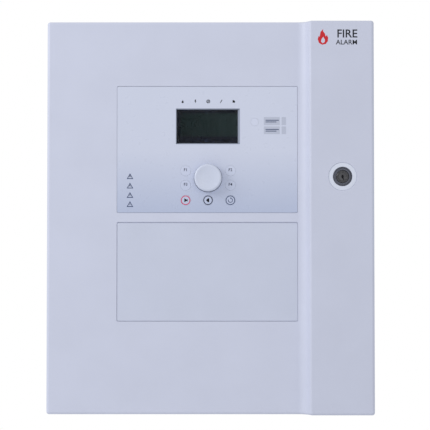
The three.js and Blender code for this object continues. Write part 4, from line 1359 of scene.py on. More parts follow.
@dataclass
class Emblem:
    """A generic flame with two short words, printed at the top of the band."""

    x: float = 128.0
    z: float = 204.6
    half: float = 9.0
    front: float = 110.0
    ink: float = 0.02

    def build(self) -> None:
        """Prints the flame and the words."""
        span = (self.front - 0.02, self.front + self.ink)
        outer = [(-0.1, -1.0), (0.35, -0.9), (0.62, -0.55), (0.66, -0.1), (0.5, 0.25), (0.36, 0.02),
                 (0.26, 0.4), (0.02, 0.72), (0.04, 1.0), (-0.3, 0.62), (-0.36, 0.26), (-0.42, 0.0),
                 (-0.54, 0.12), (-0.66, -0.3), (-0.5, -0.75)]
        flame = Form().prism([(self.x + self.half * px, self.z + self.half * pz) for px, pz in outer], *span)
        core = [(0.0, -0.82), (0.24, -0.62), (0.26, -0.34), (0.04, 0.02), (-0.2, -0.34), (-0.24, -0.62)]
        mark = flame.solid("emblem_flame")
        hollow = [(self.x + self.half * px, self.z + self.half * pz) for px, pz in core]
        carve(mark, [Form().prism(hollow, span[0] - 1, span[1] + 1)])
        dress(mark, FLAME_INK, Body.DOOR)
        words = Form().words("FIRE", self.x + 27.5, self.z - 0.6, 13.0, span)
        words.words("ALARM", self.x + 27.0, self.z - 8.6, 7.6, span)
        dress(words.solid("emblem_words"), DARK_INK, Body.DOOR)


# ---- display, dial, keys and lock


@dataclass
class Display:
    """The display: a clear pane over the glass, which has a dark mask, inside a thin grey funnel whose grey is
    painted shade on the opening's slopes.
    """

    controls: Controls
    glass: Extent = box_of("display_glass")
    left: float = 3.9
    right: float = 1.2
    top: float = 4.4
    bottom: float = 8.7

    def shade_funnel(self) -> None:
        """Makes the thin grey funnel that lines the opening's slopes; its grey is painted shade on the white
        slopes.
        """
        w, h = self.controls.opening[0] / 2, self.controls.opening[1] / 2
        x, z = self.controls.pane.x, self.controls.pane.z
        front, back = self.controls.film.d1 - 0.05, self.controls.pane.d1 + 0.2

        def ring(left: float, right: float, low: float, high: float, d: float) -> list[Point]:
            """One turn of the funnel, drawn in from the opening's four sides."""
            a, b, c, e = x - w + left, x + w - right, z - h + low, z + h - high
            return [(a, d, c), (b, d, c), (b, d, e), (a, d, e)]

        turns = [ring(-0.1, -0.1, -0.1, -0.1, front), ring(0.15, 0.15, 0.12, 0.15, front),
                 ring(1.05, 2.35, 1.3, 1.3, back), ring(0.7, 1.9, 0.9, 0.9, back - 0.15)]
        dress(Form().loft(turns, closed=True).solid("display_slope_shade"), SLOPE_SHADE_GREY, Body.DOOR)

    def build(self) -> None:
        """Makes the pane, the glass and its mask."""
        g = self.glass
        # The cell lightens to the right as a painted reflection.
        finish = LiquidCrystal("liquid_crystal", linear(25, 37, 38), "liquid_crystal", roughness=0.16,
                               reflected_colour=linear(39, 52, 52), left=g.x0, right=g.x1)
        dress(Form().block((g.x0, g.x1), (g.d0, g.d1 - 0.04), (g.z0, g.z1)).solid("display_cell"), finish,
              Body.DOOR, ["display_glass"], 0.2)
        span = (g.d1 - 0.05, g.d1)
        mask = Form().block((g.x0, g.x1), span, (g.z0, g.z1)).solid("display_mask")
        active = (g.x0 + self.left, g.x1 - self.right, g.z0 + self.bottom, g.z1 - self.top)
        carve(mask, [Form().prism(round_rect(*active, 0.6), span[0] - 1, span[1] + 1)])
        dress(mask, MASK_BLACK, Body.DOOR)
        spot = Form().ring(g.x - 2.0, g.z0 + 3.9, 1.5, 1.1, (span[1] - 0.01, span[1] + 0.02), 32)
        dress(spot.solid("display_spot"), SLATE_INK, Body.DOOR)
        self.shade_funnel()
        p = self.controls.pane
        pane = Form().block((p.x0, p.x1), (p.d0, p.d1), (p.z0, p.z1)).solid("display_pane")
        dress(pane, PANE, Body.DOOR, ["display_window"], 0.2)


@dataclass
class Dial:
    """The big knob, dished on its front, on its shaft."""

    knob: Extent = box_of("dial_knob")
    bush: float = 99.5
    bore: float = 3.3
    hub: float = 5.0
    roof: float = 2.6
    wall: float = 2.0
    dish: float = 1.3
    crest: float = 13.2
    fall: float = 2.6

    def build(self) -> None:
        """Turns the knob and dresses the shaft and plunger."""
        node, r = self.knob, self.knob.width / 2
        front, back, roof = node.d1, node.d0, node.d1 - self.roof
        hollow = [(self.crest * t, front - self.dish * (1 - t ** 2.2)) for t in (i / 16 for i in range(16))]
        crown = [(self.crest + 0.35 * t, front - 0.02 * t) for t in (0.0, 1.0)]
        reach = r - self.crest - 0.35
        side = [(self.crest + 0.35 + reach * sin(a), front - 0.02 - self.fall * (1 - cos(a)))
                for a in quarter(12)[1:]]
        under = [(r, back), (r - self.wall, back), (r - self.wall, roof), (self.hub, roof),
                 (self.hub, self.bush), (self.bore, self.bush), (self.bore, roof), (0, roof)]
        knob = Form().turned(node.x, node.z, [*hollow, *crown, *side, *under], 144).solid("dial_cap")
        dress(knob, KNOB_PLASTIC, Body.DIAL, ["dial_knob"])
        refine("dial_shaft", ZINC, Body.DIAL)
        refine("dial_plunger", BLACK_PLASTIC, Body.DIAL_PUSH)


class KeySign(Enum):
    """What is printed on a key."""

    F1 = "F1"
    F2 = "F2"
    F3 = "F3"
    F4 = "F4"
    START = "start"
    SILENCE = "silence"
    RESET = "reset"
    PLAIN = ""


@dataclass
class Key:
    """One key cap and its print."""

    name: str
    sign: KeySign
    controls: Controls
    soft: float = 0.12
    proud: float = 0.05
    stem: float = 2.5
    flange_front: float = 96.2
    flange_thick: float = 1.0
    ink: float = 0.03

    @property
    def front(self) -> float:
        """The depth of the cap's face, just proud of the film."""
        return self.controls.film.d1 + self.proud

    def cap(self) -> None:
        """Turns the cap with a soft edge, a flange and a stem."""
        x, z, r = self.controls.key(self.name)
        node = Extent.of(self.name)
        front, flange = self.front, self.flange_front
        edge = crown(r, front, self.soft)
        wide = r + self.controls.flange
        profile = [(0, front), *edge, (r, flange), (wide, flange), (wide, flange - self.flange_thick),
                   (self.stem, flange - self.flange_thick), (self.stem, node.d0), (0, node.d0)]
        cap = Form().turned(x, z, profile, 72).solid(self.name + "_cap")
        dress(cap, KEY_TINT, self.name, [self.name])

    def print_on(self, part: str, form: Form, finish: Finish) -> None:
        """Lays a print on the cap."""
        dress(form.solid(f"{self.name}_{part}"), finish, self.name)

    def mark(self) -> None:
        """Prints the key's sign."""
        x, z, _ = self.controls.key(self.name)
        span = (self.front - 0.01, self.front + self.ink)
        upper = (span[1] - 0.01, span[1] + 0.01)
        if self.sign in (KeySign.F1, KeySign.F2, KeySign.F3, KeySign.F4):
            lettering = Form().words(self.sign.value, x, z - 0.4, 4.6, span)
            self.print_on("letters", lettering, NAVY_INK)
        elif self.sign is KeySign.START:
            self.print_on("ring", Form().ring(x, z, 5.35, 4.45, span), RED_INK)
            arrow = Form().prism(Icon.PLAY.at(x + 0.1, z, 2.6), *upper)
            arrow.block((x + 1.5, x + 2.2), upper, (z - 1.3, z + 1.3))
            self.print_on("arrow", arrow, BLACK_INK_AND_SHADE)
        elif self.sign is KeySign.SILENCE:
            self.print_on("ring", Form().ring(x, z, 5.35, 4.4, span), NAVY_INK)
            sounder = Form().prism(Icon.SOUNDER.at(x + 0.3, z, 3.0), *upper)
            self.print_on("sounder", sounder, BLACK_INK_AND_SHADE)
        elif self.sign is KeySign.RESET:
            self.print_on("ring", Form().ring(x, z, 5.35, 4.5, span), SLATE_INK)
            turn = Form().stroke(arc(x, z, 2.4, -200, 70, 28), 0.75, upper)
            tip = arc(x, z, 2.4, 70, 70, 1)[0]
            turn.prism(Icon.HEAD.at(*tip, 1.5, 155), *upper)
            self.print_on("arrow", turn, SLATE_INK)

    def build(self) -> None:
        """Makes the cap and its print."""
        self.cap()
        self.mark()


@dataclass
class Keypad:
    """All the keys round the dial."""

    controls: Controls

    def build(self) -> None:
        """Makes each key with its sign."""
        for name, sign in zip(self.controls.names, KeySign):
            Key(name, sign, self.controls).build()


@dataclass
class Lock:
    """The cam lock: a barrel in the dish, its plug with a keyway, the cam and the nut."""

    barrel: Extent = box_of("lock_barrel")
    head: float = 10.75
    plug: float = 7.2
    shank: float = 8.0
    core: float = 5.2

    def collar(self) -> None:
        """Turns the pale collar that fills the dish round the lock's head."""
        floor = self.barrel.d1 - 1.55
        outer = [(15.95, floor), (15.95, floor + 0.95), (15.75, floor + 1.2), (15.2, floor + 1.35)]
        inner = [(11.7, floor + 1.55), (11.2, floor + 1.5), (10.9, floor + 1.1), (10.9, floor)]
        collar = Form().turned(self.barrel.x, self.barrel.z, outer + inner, 128).solid("lock_collar")
        dress(collar, COLLAR_PLASTIC, Body.DOOR)

    def body(self) -> None:
        """Turns the barrel with its polished rim."""
        x, z, front = self.barrel.x, self.barrel.z, self.barrel.d1
        seat, tail = front - 1.3, self.barrel.d0
        soft = crown(self.head, front, 0.5)
        threads = [(self.shank - (0.28 if i % 2 else 0.0), seat - 1.2 - 0.5 * i) for i in range(43)]
        bore = [(5.5, tail), (5.5, seat - 2), (7.5, seat - 2), (7.5, front - 1.0), (8.2, front - 1.0),
                (8.5, front - 1.9), (9.1, front - 1.9), (9.5, front - 0.3)]
        profile = [*soft, (self.head, seat), (self.shank, seat), *threads, (self.shank - 0.3, tail), *bore]
        dress(Form().turned(x, z, profile, 96).solid("lock_body"), BRIGHT_NICKEL, Body.DOOR,
              ["lock_barrel"])
        refine("lock_nut", ZINC, Body.DOOR, 0.4)

    def cylinder(self) -> None:
        """Turns the plug, cuts its keyway, lays a black disc in it as painted shade and dresses the cam."""
        node = Extent.of("lock_plug")
        x, z, front = node.x, node.z, node.d1
        step, tail = front - 2.3 - 0.2, 84.3
        face = [(0, front - 0.5), (4.4, front - 0.35), (4.7, front), (5.5, front), (5.8, front - 0.35),
                (6.6, front - 0.35), (self.plug, front - 0.8)]
        profile = [*face, (self.plug, step), (self.core, step), (self.core, tail), (3, tail), (3, node.d0),
                   (0, node.d0)]
        plug = Form().turned(x, z, profile, 96).solid("lock_cylinder")
        deep = (front - 5, front + 1)
        keyway = [Form().prism([(x + 1.3 * px, z + 2.0 * pz) for px, pz in arc(0, 0, 1, 0, 345, 23)], *deep),
                  Form().prism([(x - 0.5, z - 0.6), (x + 0.5, z - 3.6), (x + 1.3, z - 4.1), (x + 1.5, z - 3.4),
                                (x + 0.8, z - 0.6)], *deep),
                  Form().disc(x, z, 1.6, (node.d0 - 1, node.d0 + 7), 24)]
        carve(plug, keyway)
        # Painted shade: a black disc deep in the keyway stands in for the shade inside it.
        shade = Form().prism([(x + 1.5 * px, z - 0.9 + 3.6 * pz) for px, pz in arc(0, 0, 1, 0, 345, 23)],
                             front - 2.0, front - 1.4)
        dress(shade.solid("keyway_painted_shade"), BLACK_INK_AND_SHADE, Body.LOCK)
        dress(plug, DARK_NICKEL, Body.LOCK, ["lock_plug"])
        refine("lock_cam", ZINC, Body.LOCK, 0.25)

    def build(self) -> None:
        """Makes the lock."""
        self.collar()
        self.body()
        self.cylinder()


# ---- inside the cabinet


def row_recipe(name: str, finish: Finish) -> Recipe:
    """A recipe that sets boxes at even steps along every edge of its base.

    Args:
        name: The recipe's name.
        finish: Its finish.

    Returns:
        The recipe, with inputs "size" and "count".
    """
    recipe = Recipe(name)
    size, count = recipe.size("size", (MM, MM, MM)), recipe.size("count", 4)
    return recipe.end(recipe.repeat(recipe.steps(count), recipe.cube(size, (0, 0, 0))), finish)


def scatter_recipe(name: str, finish: Finish, ends: bool) -> Recipe:
    """A recipe that strews small boxes near even steps along every edge, each time in the same places.

    Args:
        name: The recipe's name.
        finish: Its finish.
        ends: Whether it makes the two soldered ends instead of the bodies.

    Returns:
        The recipe, with inputs "size", "count" and "seed".
    """
    recipe = Recipe(name)
    size, count = recipe.size("size", (MM, MM, MM)), recipe.size("count", 4)
    seed = recipe.size("seed", 3)
    drift = recipe.add("FunctionNodeRandomValue", {"Min": (-0.9 * MM, 0, -0.9 * MM),
                                                    "Max": (0.9 * MM, 0, 0.9 * MM), "Seed": seed},
                        data_type="FLOAT_VECTOR").outputs[0]
    drifted = {"Geometry": recipe.steps(count), "Offset": drift}
    moved = recipe.add("GeometryNodeSetPosition", drifted).outputs[0]
    kept = recipe.add("FunctionNodeRandomValue", {"Probability": 0.72, "Seed": seed},
                       data_type="BOOLEAN").outputs[3]
    quarter = recipe.add("FunctionNodeRandomValue", {"Min": 0, "Max": 1, "Seed": seed},
                          data_type="INT").outputs[2]
    turn = recipe.vector(0.0, recipe.times(quarter, pi / 2), 0.0)
    if ends:
        apart, back, cap = (
            recipe.add("ShaderNodeVectorMath", {0: size, 1: share}, operation="MULTIPLY").outputs[0]
            for share in ((0.5, 0, 0), (-0.5, 0, 0), (0.3, 1.04, 1.04)))
        part = recipe.join(recipe.cube(cap, apart), recipe.cube(cap, back))
    else:
        part = recipe.cube(size, (0, 0, 0))
    return recipe.end(recipe.repeat(moved, part, Selection=kept, Rotation=turn), finish)


def strew(names: tuple[str, str], lines: Sequence[Line], size: Point, count: int, seed: int,
          body: str = Body.CABINET) -> None:
    """Strews small parts near lines, as two pieces: their bodies and their soldered ends.

    Args:
        names: What the bodies and the ends are called.
        lines: Both ends of each line.
        size: A part's size in millimetres.
        count: How many places each line has.
        seed: What fixes the places.
        body: Their body.
    """
    for name, finish, ends in zip(names, (CHIP_BLACK, TIN), (False, True)):
        maker = scatter_recipe(name + "_maker", finish, ends)
        made = maker.along(name, lines, size=tuple(v * MM for v in size), count=count, seed=seed)
        dress(made, finish, body)


def screw_recipe(finish: Finish) -> Recipe:
    """A recipe that makes a cross-headed screw on every point, which lies at the seat of its head."""
    recipe = Recipe("screw_maker")
    head, thick = recipe.size("head radius", 2.8 * MM), recipe.size("head height", 2.0 * MM)
    shank, length = recipe.size("shank radius", 1.3 * MM), recipe.size("shank length", 6.0 * MM)
    side = recipe.size("side", -1.0)
    rise = recipe.times(thick, side)
    middle = recipe.vector(0.0, recipe.times(rise, 0.5), 0.0)
    arm, web = recipe.times(head, 1.15), recipe.times(head, 0.24)
    tools = [recipe.cube(recipe.vector(a, thick, b), recipe.vector(0.0, rise, 0.0))
             for a, b in ((arm, web), (web, arm))]
    top = recipe.cut(recipe.bar(head, thick, middle, 28), *tools)
    down = recipe.times(recipe.times(length, side), -0.5)
    stem = recipe.bar(shank, length, recipe.vector(0.0, down, 0.0), 16)
    return recipe.end(recipe.repeat(recipe.entry.outputs[0], recipe.join(top, stem)), finish)


def pole_recipe(finish: Finish) -> Recipe:
    """A recipe that makes a terminal's housing on every point, with its screw well and wire mouth."""
    recipe = Recipe("pole_maker")
    size = recipe.size("pole", (6 * MM, 13 * MM, 12 * MM))
    well, reach = recipe.size("well radius", 2.1 * MM), recipe.size("well place", (0.0, -6.5 * MM, -1.5 * MM))
    mouth = recipe.size("mouth", (3.6 * MM, 3.8 * MM, 8 * MM))
    below = recipe.size("mouth place", (0.0, 0.0, 6 * MM))
    tools = [recipe.bar(well, 8 * MM, reach, 24), recipe.cube(mouth, below)]
    body = recipe.cut(recipe.cube(size, (0, 0, 0)), *tools)
    return recipe.end(recipe.repeat(recipe.entry.outputs[0], body), finish)


@dataclass
class BackBox:
    """The painted steel box, its hinge parts and the lock's keeper."""

    edge: float = 0.4

    def build(self) -> None:
        """Dresses the box's own parts."""
        refine("back_box", BOX_PAINT, bevel=self.edge)
        for end in ("upper", "lower"):
            refine("hinge_bracket_" + end, ZINC, bevel=0.25)
            refine("hinge_pin_" + end, ZINC, bevel=0.25)
        refine("lock_keeper", ZINC, bevel=0.3)


@dataclass
class Hardware:
    """Screws and terminal rows, all made from shared recipes."""

    screws: Recipe = field(default_factory=lambda: screw_recipe(ZINC))
    heads: Recipe = field(default_factory=lambda: screw_recipe(TIN))
    green: Recipe = field(default_factory=lambda: pole_recipe(GREEN_PLASTIC))
    grey: Recipe = field(default_factory=lambda: pole_recipe(GREY_PLASTIC))

    def fixing(self, nodes: Sequence[str], outward: bool, body: str = Body.CABINET) -> None:
        """Puts one screw in place of each CAD screw.

        Args:
            nodes: The CAD screws.
            outward: Whether their heads face out from the wall.
            body: Their body.
        """
        boxes = [Extent.of(node) for node in nodes]
        seats = [(box.x, box.d1 - 2.0 if outward else box.d0 + 2.0, box.z) for box in boxes]
        made = self.screws.make(nodes[0] + "_set", seats, side=-1.0 if outward else 1.0)
        dress(made, ZINC, body, nodes)

    def terminals(self, node: str, poles: int) -> None:
        """Builds a row of terminals in a CAD block's place.

        Args:
            node: The CAD block.
            poles: How many there are.
        """
        box = Extent.of(node)
        pitch, deep = box.width / poles, box.d1 - box.d0
        wide, grey = pitch - 0.25, node.startswith("mains")
        spots = [(box.x0 + pitch * (i + 0.5), (box.d0 + box.d1) / 2, box.z) for i in range(poles)]
        well = min(0.36 * wide, 3.0)
        sink = Vector((0, -deep / 2, -box.height * 0.12))
        sizes = {"pole": (wide * MM, deep * MM, box.height * MM), "well_radius": well * MM,
                 "well_place": tuple(sink * MM), "mouth": (wide * 0.62 * MM, 4.2 * MM, 8 * MM),
                 "mouth_place": (0.0, deep * 0.12 * MM, (-0.5 if grey else 0.5) * box.height * MM)}
        maker, finish = (self.grey, GREY_PLASTIC) if grey else (self.green, GREEN_PLASTIC)
        web = Form().block((box.x0, box.x1), (box.d0, box.d0 + deep * 0.3), (box.z0 + 0.6, box.z1 - 0.6))
        dress(web.solid(node + "_base"), finish)
        dress(maker.make(node + "_row", spots, **sizes), finish, Body.CABINET, [node], 0.2, 1)
        seats = [(x, box.d1 - 3.6, z + sink.z) for x, _, z in spots]
        tops = self.heads.make(node + "_screws", seats, head_radius=(well - 0.25) * MM, head_height=1.4 * MM,
                               shank_radius=0.8 * MM, shank_length=0.3 * MM)
        dress(tops, TIN)


@dataclass
class MainBoard:
    """The main circuit board: its sockets, chips, cans and the small parts round them."""

    hardware: Hardware
    board: Extent = box_of("main_board")
    thick: float = 1.6
    hole: float = 1.6
    seed: int = 11

    @property
    def front(self) -> float:
        """The depth of the board's face."""
        return self.board.d0 + self.thick

    def substrate(self) -> None:
        """Makes the bare board with its fixing holes."""
        b = self.board
        plate = Form().block((b.x0, b.x1), (b.d0, self.front), (b.z0, b.z1)).solid("main_substrate")
        carve(plate, [Form().disc(x, z, self.hole, (b.d0 - 1, self.front + 1), 24)
                      for x in (b.x0 + 7, b.x1 - 7) for z in (b.z0 + 7, b.z1 - 7)])
        dress(plate, BOARD_GREEN, Body.CABINET, ["main_board"], 0.15, 1)

    def socket(self, name: str, x: Flat, z: Flat, rise: float, finish: Finish) -> None:
        """Makes one open-topped socket, with a hollow in its face.

        Args:
            name: Its name.
            x: Its sides.
            z: Its bottom and top.
            rise: Its height off the board.
            finish: Its finish.
        """
        front = self.front
        shell = Form().block(x, (front, front + rise), z).solid(name)
        top = (front + rise - 1.2, front + rise + 1)
        carve(shell, [Form().block((x[0] + 1, x[1] - 1), top, (z[0] + 1, z[1] - 1))])
        dress(shell, finish, bevel=0.25)

    def chips(self) -> None:
        """Makes the two large chips, a row of small ones, and all their legs."""
        b, front = self.board, self.front
        big = [(b.x0 + 84, b.z1 - 108, 28, 28, 13), (b.x0 + 140, b.z1 - 142, 20, 20, 9)]
        small = [(b.x0 + 128, b.z1 - 100 - 17 * i, 7.5, 11, 7) for i in range(2)]
        small += [(b.x0 + 48 + 24 * i, b.z0 + 36, 11, 7.5, 0) for i in range(3)]
        bodies, edges, flat = Form(), [], []
        for x, z, wide, high, legs in big + small:
            bodies.block((x - wide / 2, x + wide / 2), (front + 0.3, front + 2.6), (z - high / 2, z + high / 2))
            if legs:
                edges += [((x + s * (wide / 2 + 0.7), front + 0.45, z - high / 2 + 1.5),
                           (x + s * (wide / 2 + 0.7), front + 0.45, z + high / 2 - 1.5)) for s in (-1, 1)]
            if not legs or high == wide:
                flat += [((x - wide / 2 + 1.5, front + 0.45, z + s * (high / 2 + 0.7)),
                          (x + wide / 2 - 1.5, front + 0.45, z + s * (high / 2 + 0.7))) for s in (-1, 1)]
        dress(bodies.solid("chip_bodies"), CHIP_BLACK, bevel=0.3)
        legs = row_recipe("leg_maker", TIN)
        rows = (("legs_side", edges, (1.6, 0.7, 0.55)), ("legs_end", flat, (0.55, 0.7, 1.6)))
        for name, lines, size in rows:
            dress(legs.along(name, lines, size=tuple(v * MM for v in size), count=9), TIN)

    def cans(self) -> None:
        """Makes the electrolytic cans, their tops and the relays."""
        b, front = self.board, self.front
        spots = [(b.x0 + 152 + 17 * i, b.z0 + 22, 6.2, 15) for i in range(3)]
        spots += [(b.x0 + 26, b.z1 - 62, 5.0, 12), (b.x0 + 26, b.z1 - 48, 5.0, 12)]
        sleeves, tops, relays = Form(), Form(), Form()
        for x, z, radius, rise in spots:
            edge = [(radius, front), (radius, front + rise - 0.8), (radius - 0.5, front + rise)]
            groove = [(radius - 0.9, front + rise), (0, front + rise - 0.3)]
            sleeves.turned(x, z, [(0, front), *edge, *groove], 40)
            tops.disc(x, z, radius - 0.9, (front + rise - 0.5, front + rise + 0.05), 32)
        for i in range(4):
            x = b.x0 + 128 + 22 * i
            relays.block((x - 7.5, x + 7.5), (front, front + 14), (b.z1 - 62, b.z1 - 42))
        dress(sleeves.solid("can_sleeves"), BLUE_SLEEVE)
        dress(tops.solid("can_tops"), TIN)
        dress(relays.solid("relays"), IVORY_PLASTIC, bevel=0.6)

    def small_parts(self) -> None:
        """Strews the small parts over the free parts of the board."""
        b, lift = self.board, self.front + 0.5
        spans = [(b.x0 + 20, b.x0 + 58, b.z1 - 100), (b.x0 + 108, b.x1 - 10, b.z1 - 72),
                 (b.x0 + 60, b.x1 - 20, b.z1 - 30), (b.x0 + 60, b.x1 - 20, b.z1 - 35),
                 (b.x0 + 20, b.x0 + 110, b.z0 + 60), (b.x0 + 20, b.x0 + 120, b.z0 + 66),
                 (b.x0 + 60, b.x0 + 130, b.z0 + 18), (b.x0 + 44, b.x0 + 64, b.z1 - 118),
                 (b.x0 + 158, b.x1 - 10, b.z1 - 110), (b.x0 + 158, b.x1 - 10, b.z1 - 122),
                 (b.x0 + 20, b.x0 + 60, b.z0 + 80), (b.x0 + 150, b.x1 - 12, b.z0 + 44)]
        lines = [((x0, lift, z), (x1, lift, z)) for x0, x1, z in spans]
        strew(("small_bodies", "small_ends"), lines, (2.2, 1.0, 1.3), 14, self.seed)

    def build(self) -> None:
        """Makes the board and everything on it."""
        b = self.board
        self.substrate()
        self.socket("ribbon_socket", (b.x0 + 4, b.x0 + 12), (21, 51), 8, CHIP_BLACK)
        self.socket("supply_socket", (b.x0 + 2, b.x0 + 14), (64, 80), 9, IVORY_PLASTIC)
        self.socket("battery_socket", (b.x0 + 14, b.x0 + 40), (b.z0 + 2, b.z0 + 12), 9, IVORY_PLASTIC)
        self.chips()
        self.cans()
        self.small_parts()
        self.hardware.terminals("loop_terminals", 16)
        self.hardware.terminals("output_terminals", 12)
        self.hardware.fixing(MAIN_SCREWS, True)


@dataclass
class PowerSupply:
    """The supply under its pierced cover, with the mains terminals, fuse and earth."""

    hardware: Hardware
    board: Extent = box_of("power_supply_board")
    back: float = 10.0
    front: float = 11.6

    def boards(self) -> None:
        """Makes the supply's board, posts, transformer, cans and heat sink."""
        b = self.board
        back, front = self.back, self.front
        plate = Form().block((b.x0, b.x1), (back, front), (b.z0, b.z1))
        dress(plate.solid("supply_substrate"), BOARD_GREEN, Body.CABINET, ["power_supply_board"], 0.15, 1)
        posts, coil, core, cans = Form(), Form(), Form(), Form()
        for x in (b.x0 + 5, b.x1 - 5):
            for z in (b.z0 + 5, b.z1 - 5):
                posts.disc(x, z, 3, (b.d0, back), 24)
        core.block((b.x0 + 12, b.x0 + 50), (front, front + 26), (b.z0 + 50, b.z0 + 58))
        core.block((b.x0 + 12, b.x0 + 50), (front, front + 26), (b.z0 + 84, b.z0 + 92))
        coil.block((b.x0 + 14, b.x0 + 48), (front + 1, front + 24), (b.z0 + 58, b.z0 + 84))
        for z in (b.z0 + 60, b.z0 + 84):
            edge = [(9, front), (9, front + 24), (8.4, front + 25), (8, front + 24.6)]
            cans.turned(b.x0 + 66, z, [(0, front), *edge, (0, front + 24.6)], 48)
        dress(posts.solid("supply_posts"), BRASS)
        dress(core.solid("transformer_core"), CHIP_BLACK, bevel=0.5)
        dress(coil.solid("transformer_coil"), YELLOW_SLEEVE, bevel=1.2)
        dress(cans.solid("supply_cans"), BLUE_SLEEVE)
        fins = row_recipe("fin_maker", TIN)
        line = ((b.x0 + 10, front + 11, b.z0 + 16), (b.x0 + 72, front + 11, b.z0 + 16))
        made = fins.along("heat_sink_fins", [line], size=(1.4 * MM, 22 * MM, 4 * MM), count=16)
        dress(made, TIN)
        web = Form().block((b.x0 + 9, b.x0 + 73), (front + 0.1, front + 21.8), (b.z0 + 15.5, b.z0 + 16.5))
        dress(web.solid("heat_sink_web"), TIN)

    def fuse(self) -> None:
        """Turns the fuse holder with its slotted cap."""
        node = Extent.of("fuse_holder")
        x, z, r, front = node.x, node.z, node.width / 2, node.d1
        profile = [(0, node.d0), (r - 0.6, node.d0), (r - 0.6, front - 9), (r, front - 8.6), (r, front - 1),
                   (r - 0.9, front), (0, front)]
        holder = Form().turned(x, z, profile, 60).solid("fuse_cap")
        carve(holder, [Form().block((x - 4, x + 4), (front - 1.4, front + 1), (z - 0.7, z + 0.7))])
        dress(holder, BLACK_PLASTIC, Body.CABINET, ["fuse_holder"])

    def build(self) -> None:
        """Makes the supply and what stands above it."""
        self.boards()
        refine("power_supply_cover", ZINC, bevel=0.3)
        self.hardware.terminals("mains_terminals", 5)
        self.fuse()
        refine("earth_stud", BRASS, bevel=0.15)
        refine("earth_nut", BRASS, bevel=0.3)


@dataclass
class Batteries:
    """The two sealed batteries under their strap."""

    corner: float = 2.4

    def one(self, node: str) -> None:
        """Makes one battery: its case, lid, tabs and ribs.

        Args:
            node: The CAD battery.
        """
        box = Extent.of(node)
        top, r = box.z1 - 6.0, self.corner
        case = Form().block((box.x0, box.x1), (box.d0, box.d1), (box.z0, top - 4)).solid(node + "_case")
        dress(case, BLACK_PLASTIC, Body.CABINET, [node], r, 4)
        lid = Form().block((box.x0 + 1.5, box.x1 - 1.5), (box.d0 + 1.5, box.d1 - 1.5), (top - 5, top))
        dress(lid.solid(node + "_lid"), GREY_PLASTIC, bevel=1.0, segments=3)
        tabs = Form()
        for x in (box.x0 + 11, box.x1 - 11):
            tabs.block((x - 3.2, x + 3.2), (box.d1 - 14.4, box.d1 - 13.6), (top - 3, box.z1))
        dress(tabs.solid(node + "_tabs"), TIN, bevel=0.15)
        ribs = row_recipe(node + "_rib_maker", GREY_PLASTIC)
        line = ((box.x0 + 38, box.d0 + 26, top), (box.x1 - 38, box.d0 + 26, top))
        made = ribs.along(node + "_ribs", [line], size=(9 * MM, 22 * MM, 1.2 * MM), count=6)
        dress(made, GREY_PLASTIC, bevel=0.4)

    def build(self) -> None:
        """Makes both batteries and the strap."""
        self.one("battery_left")
        self.one("battery_right")
        refine("battery_strap", ZINC, bevel=0.35)


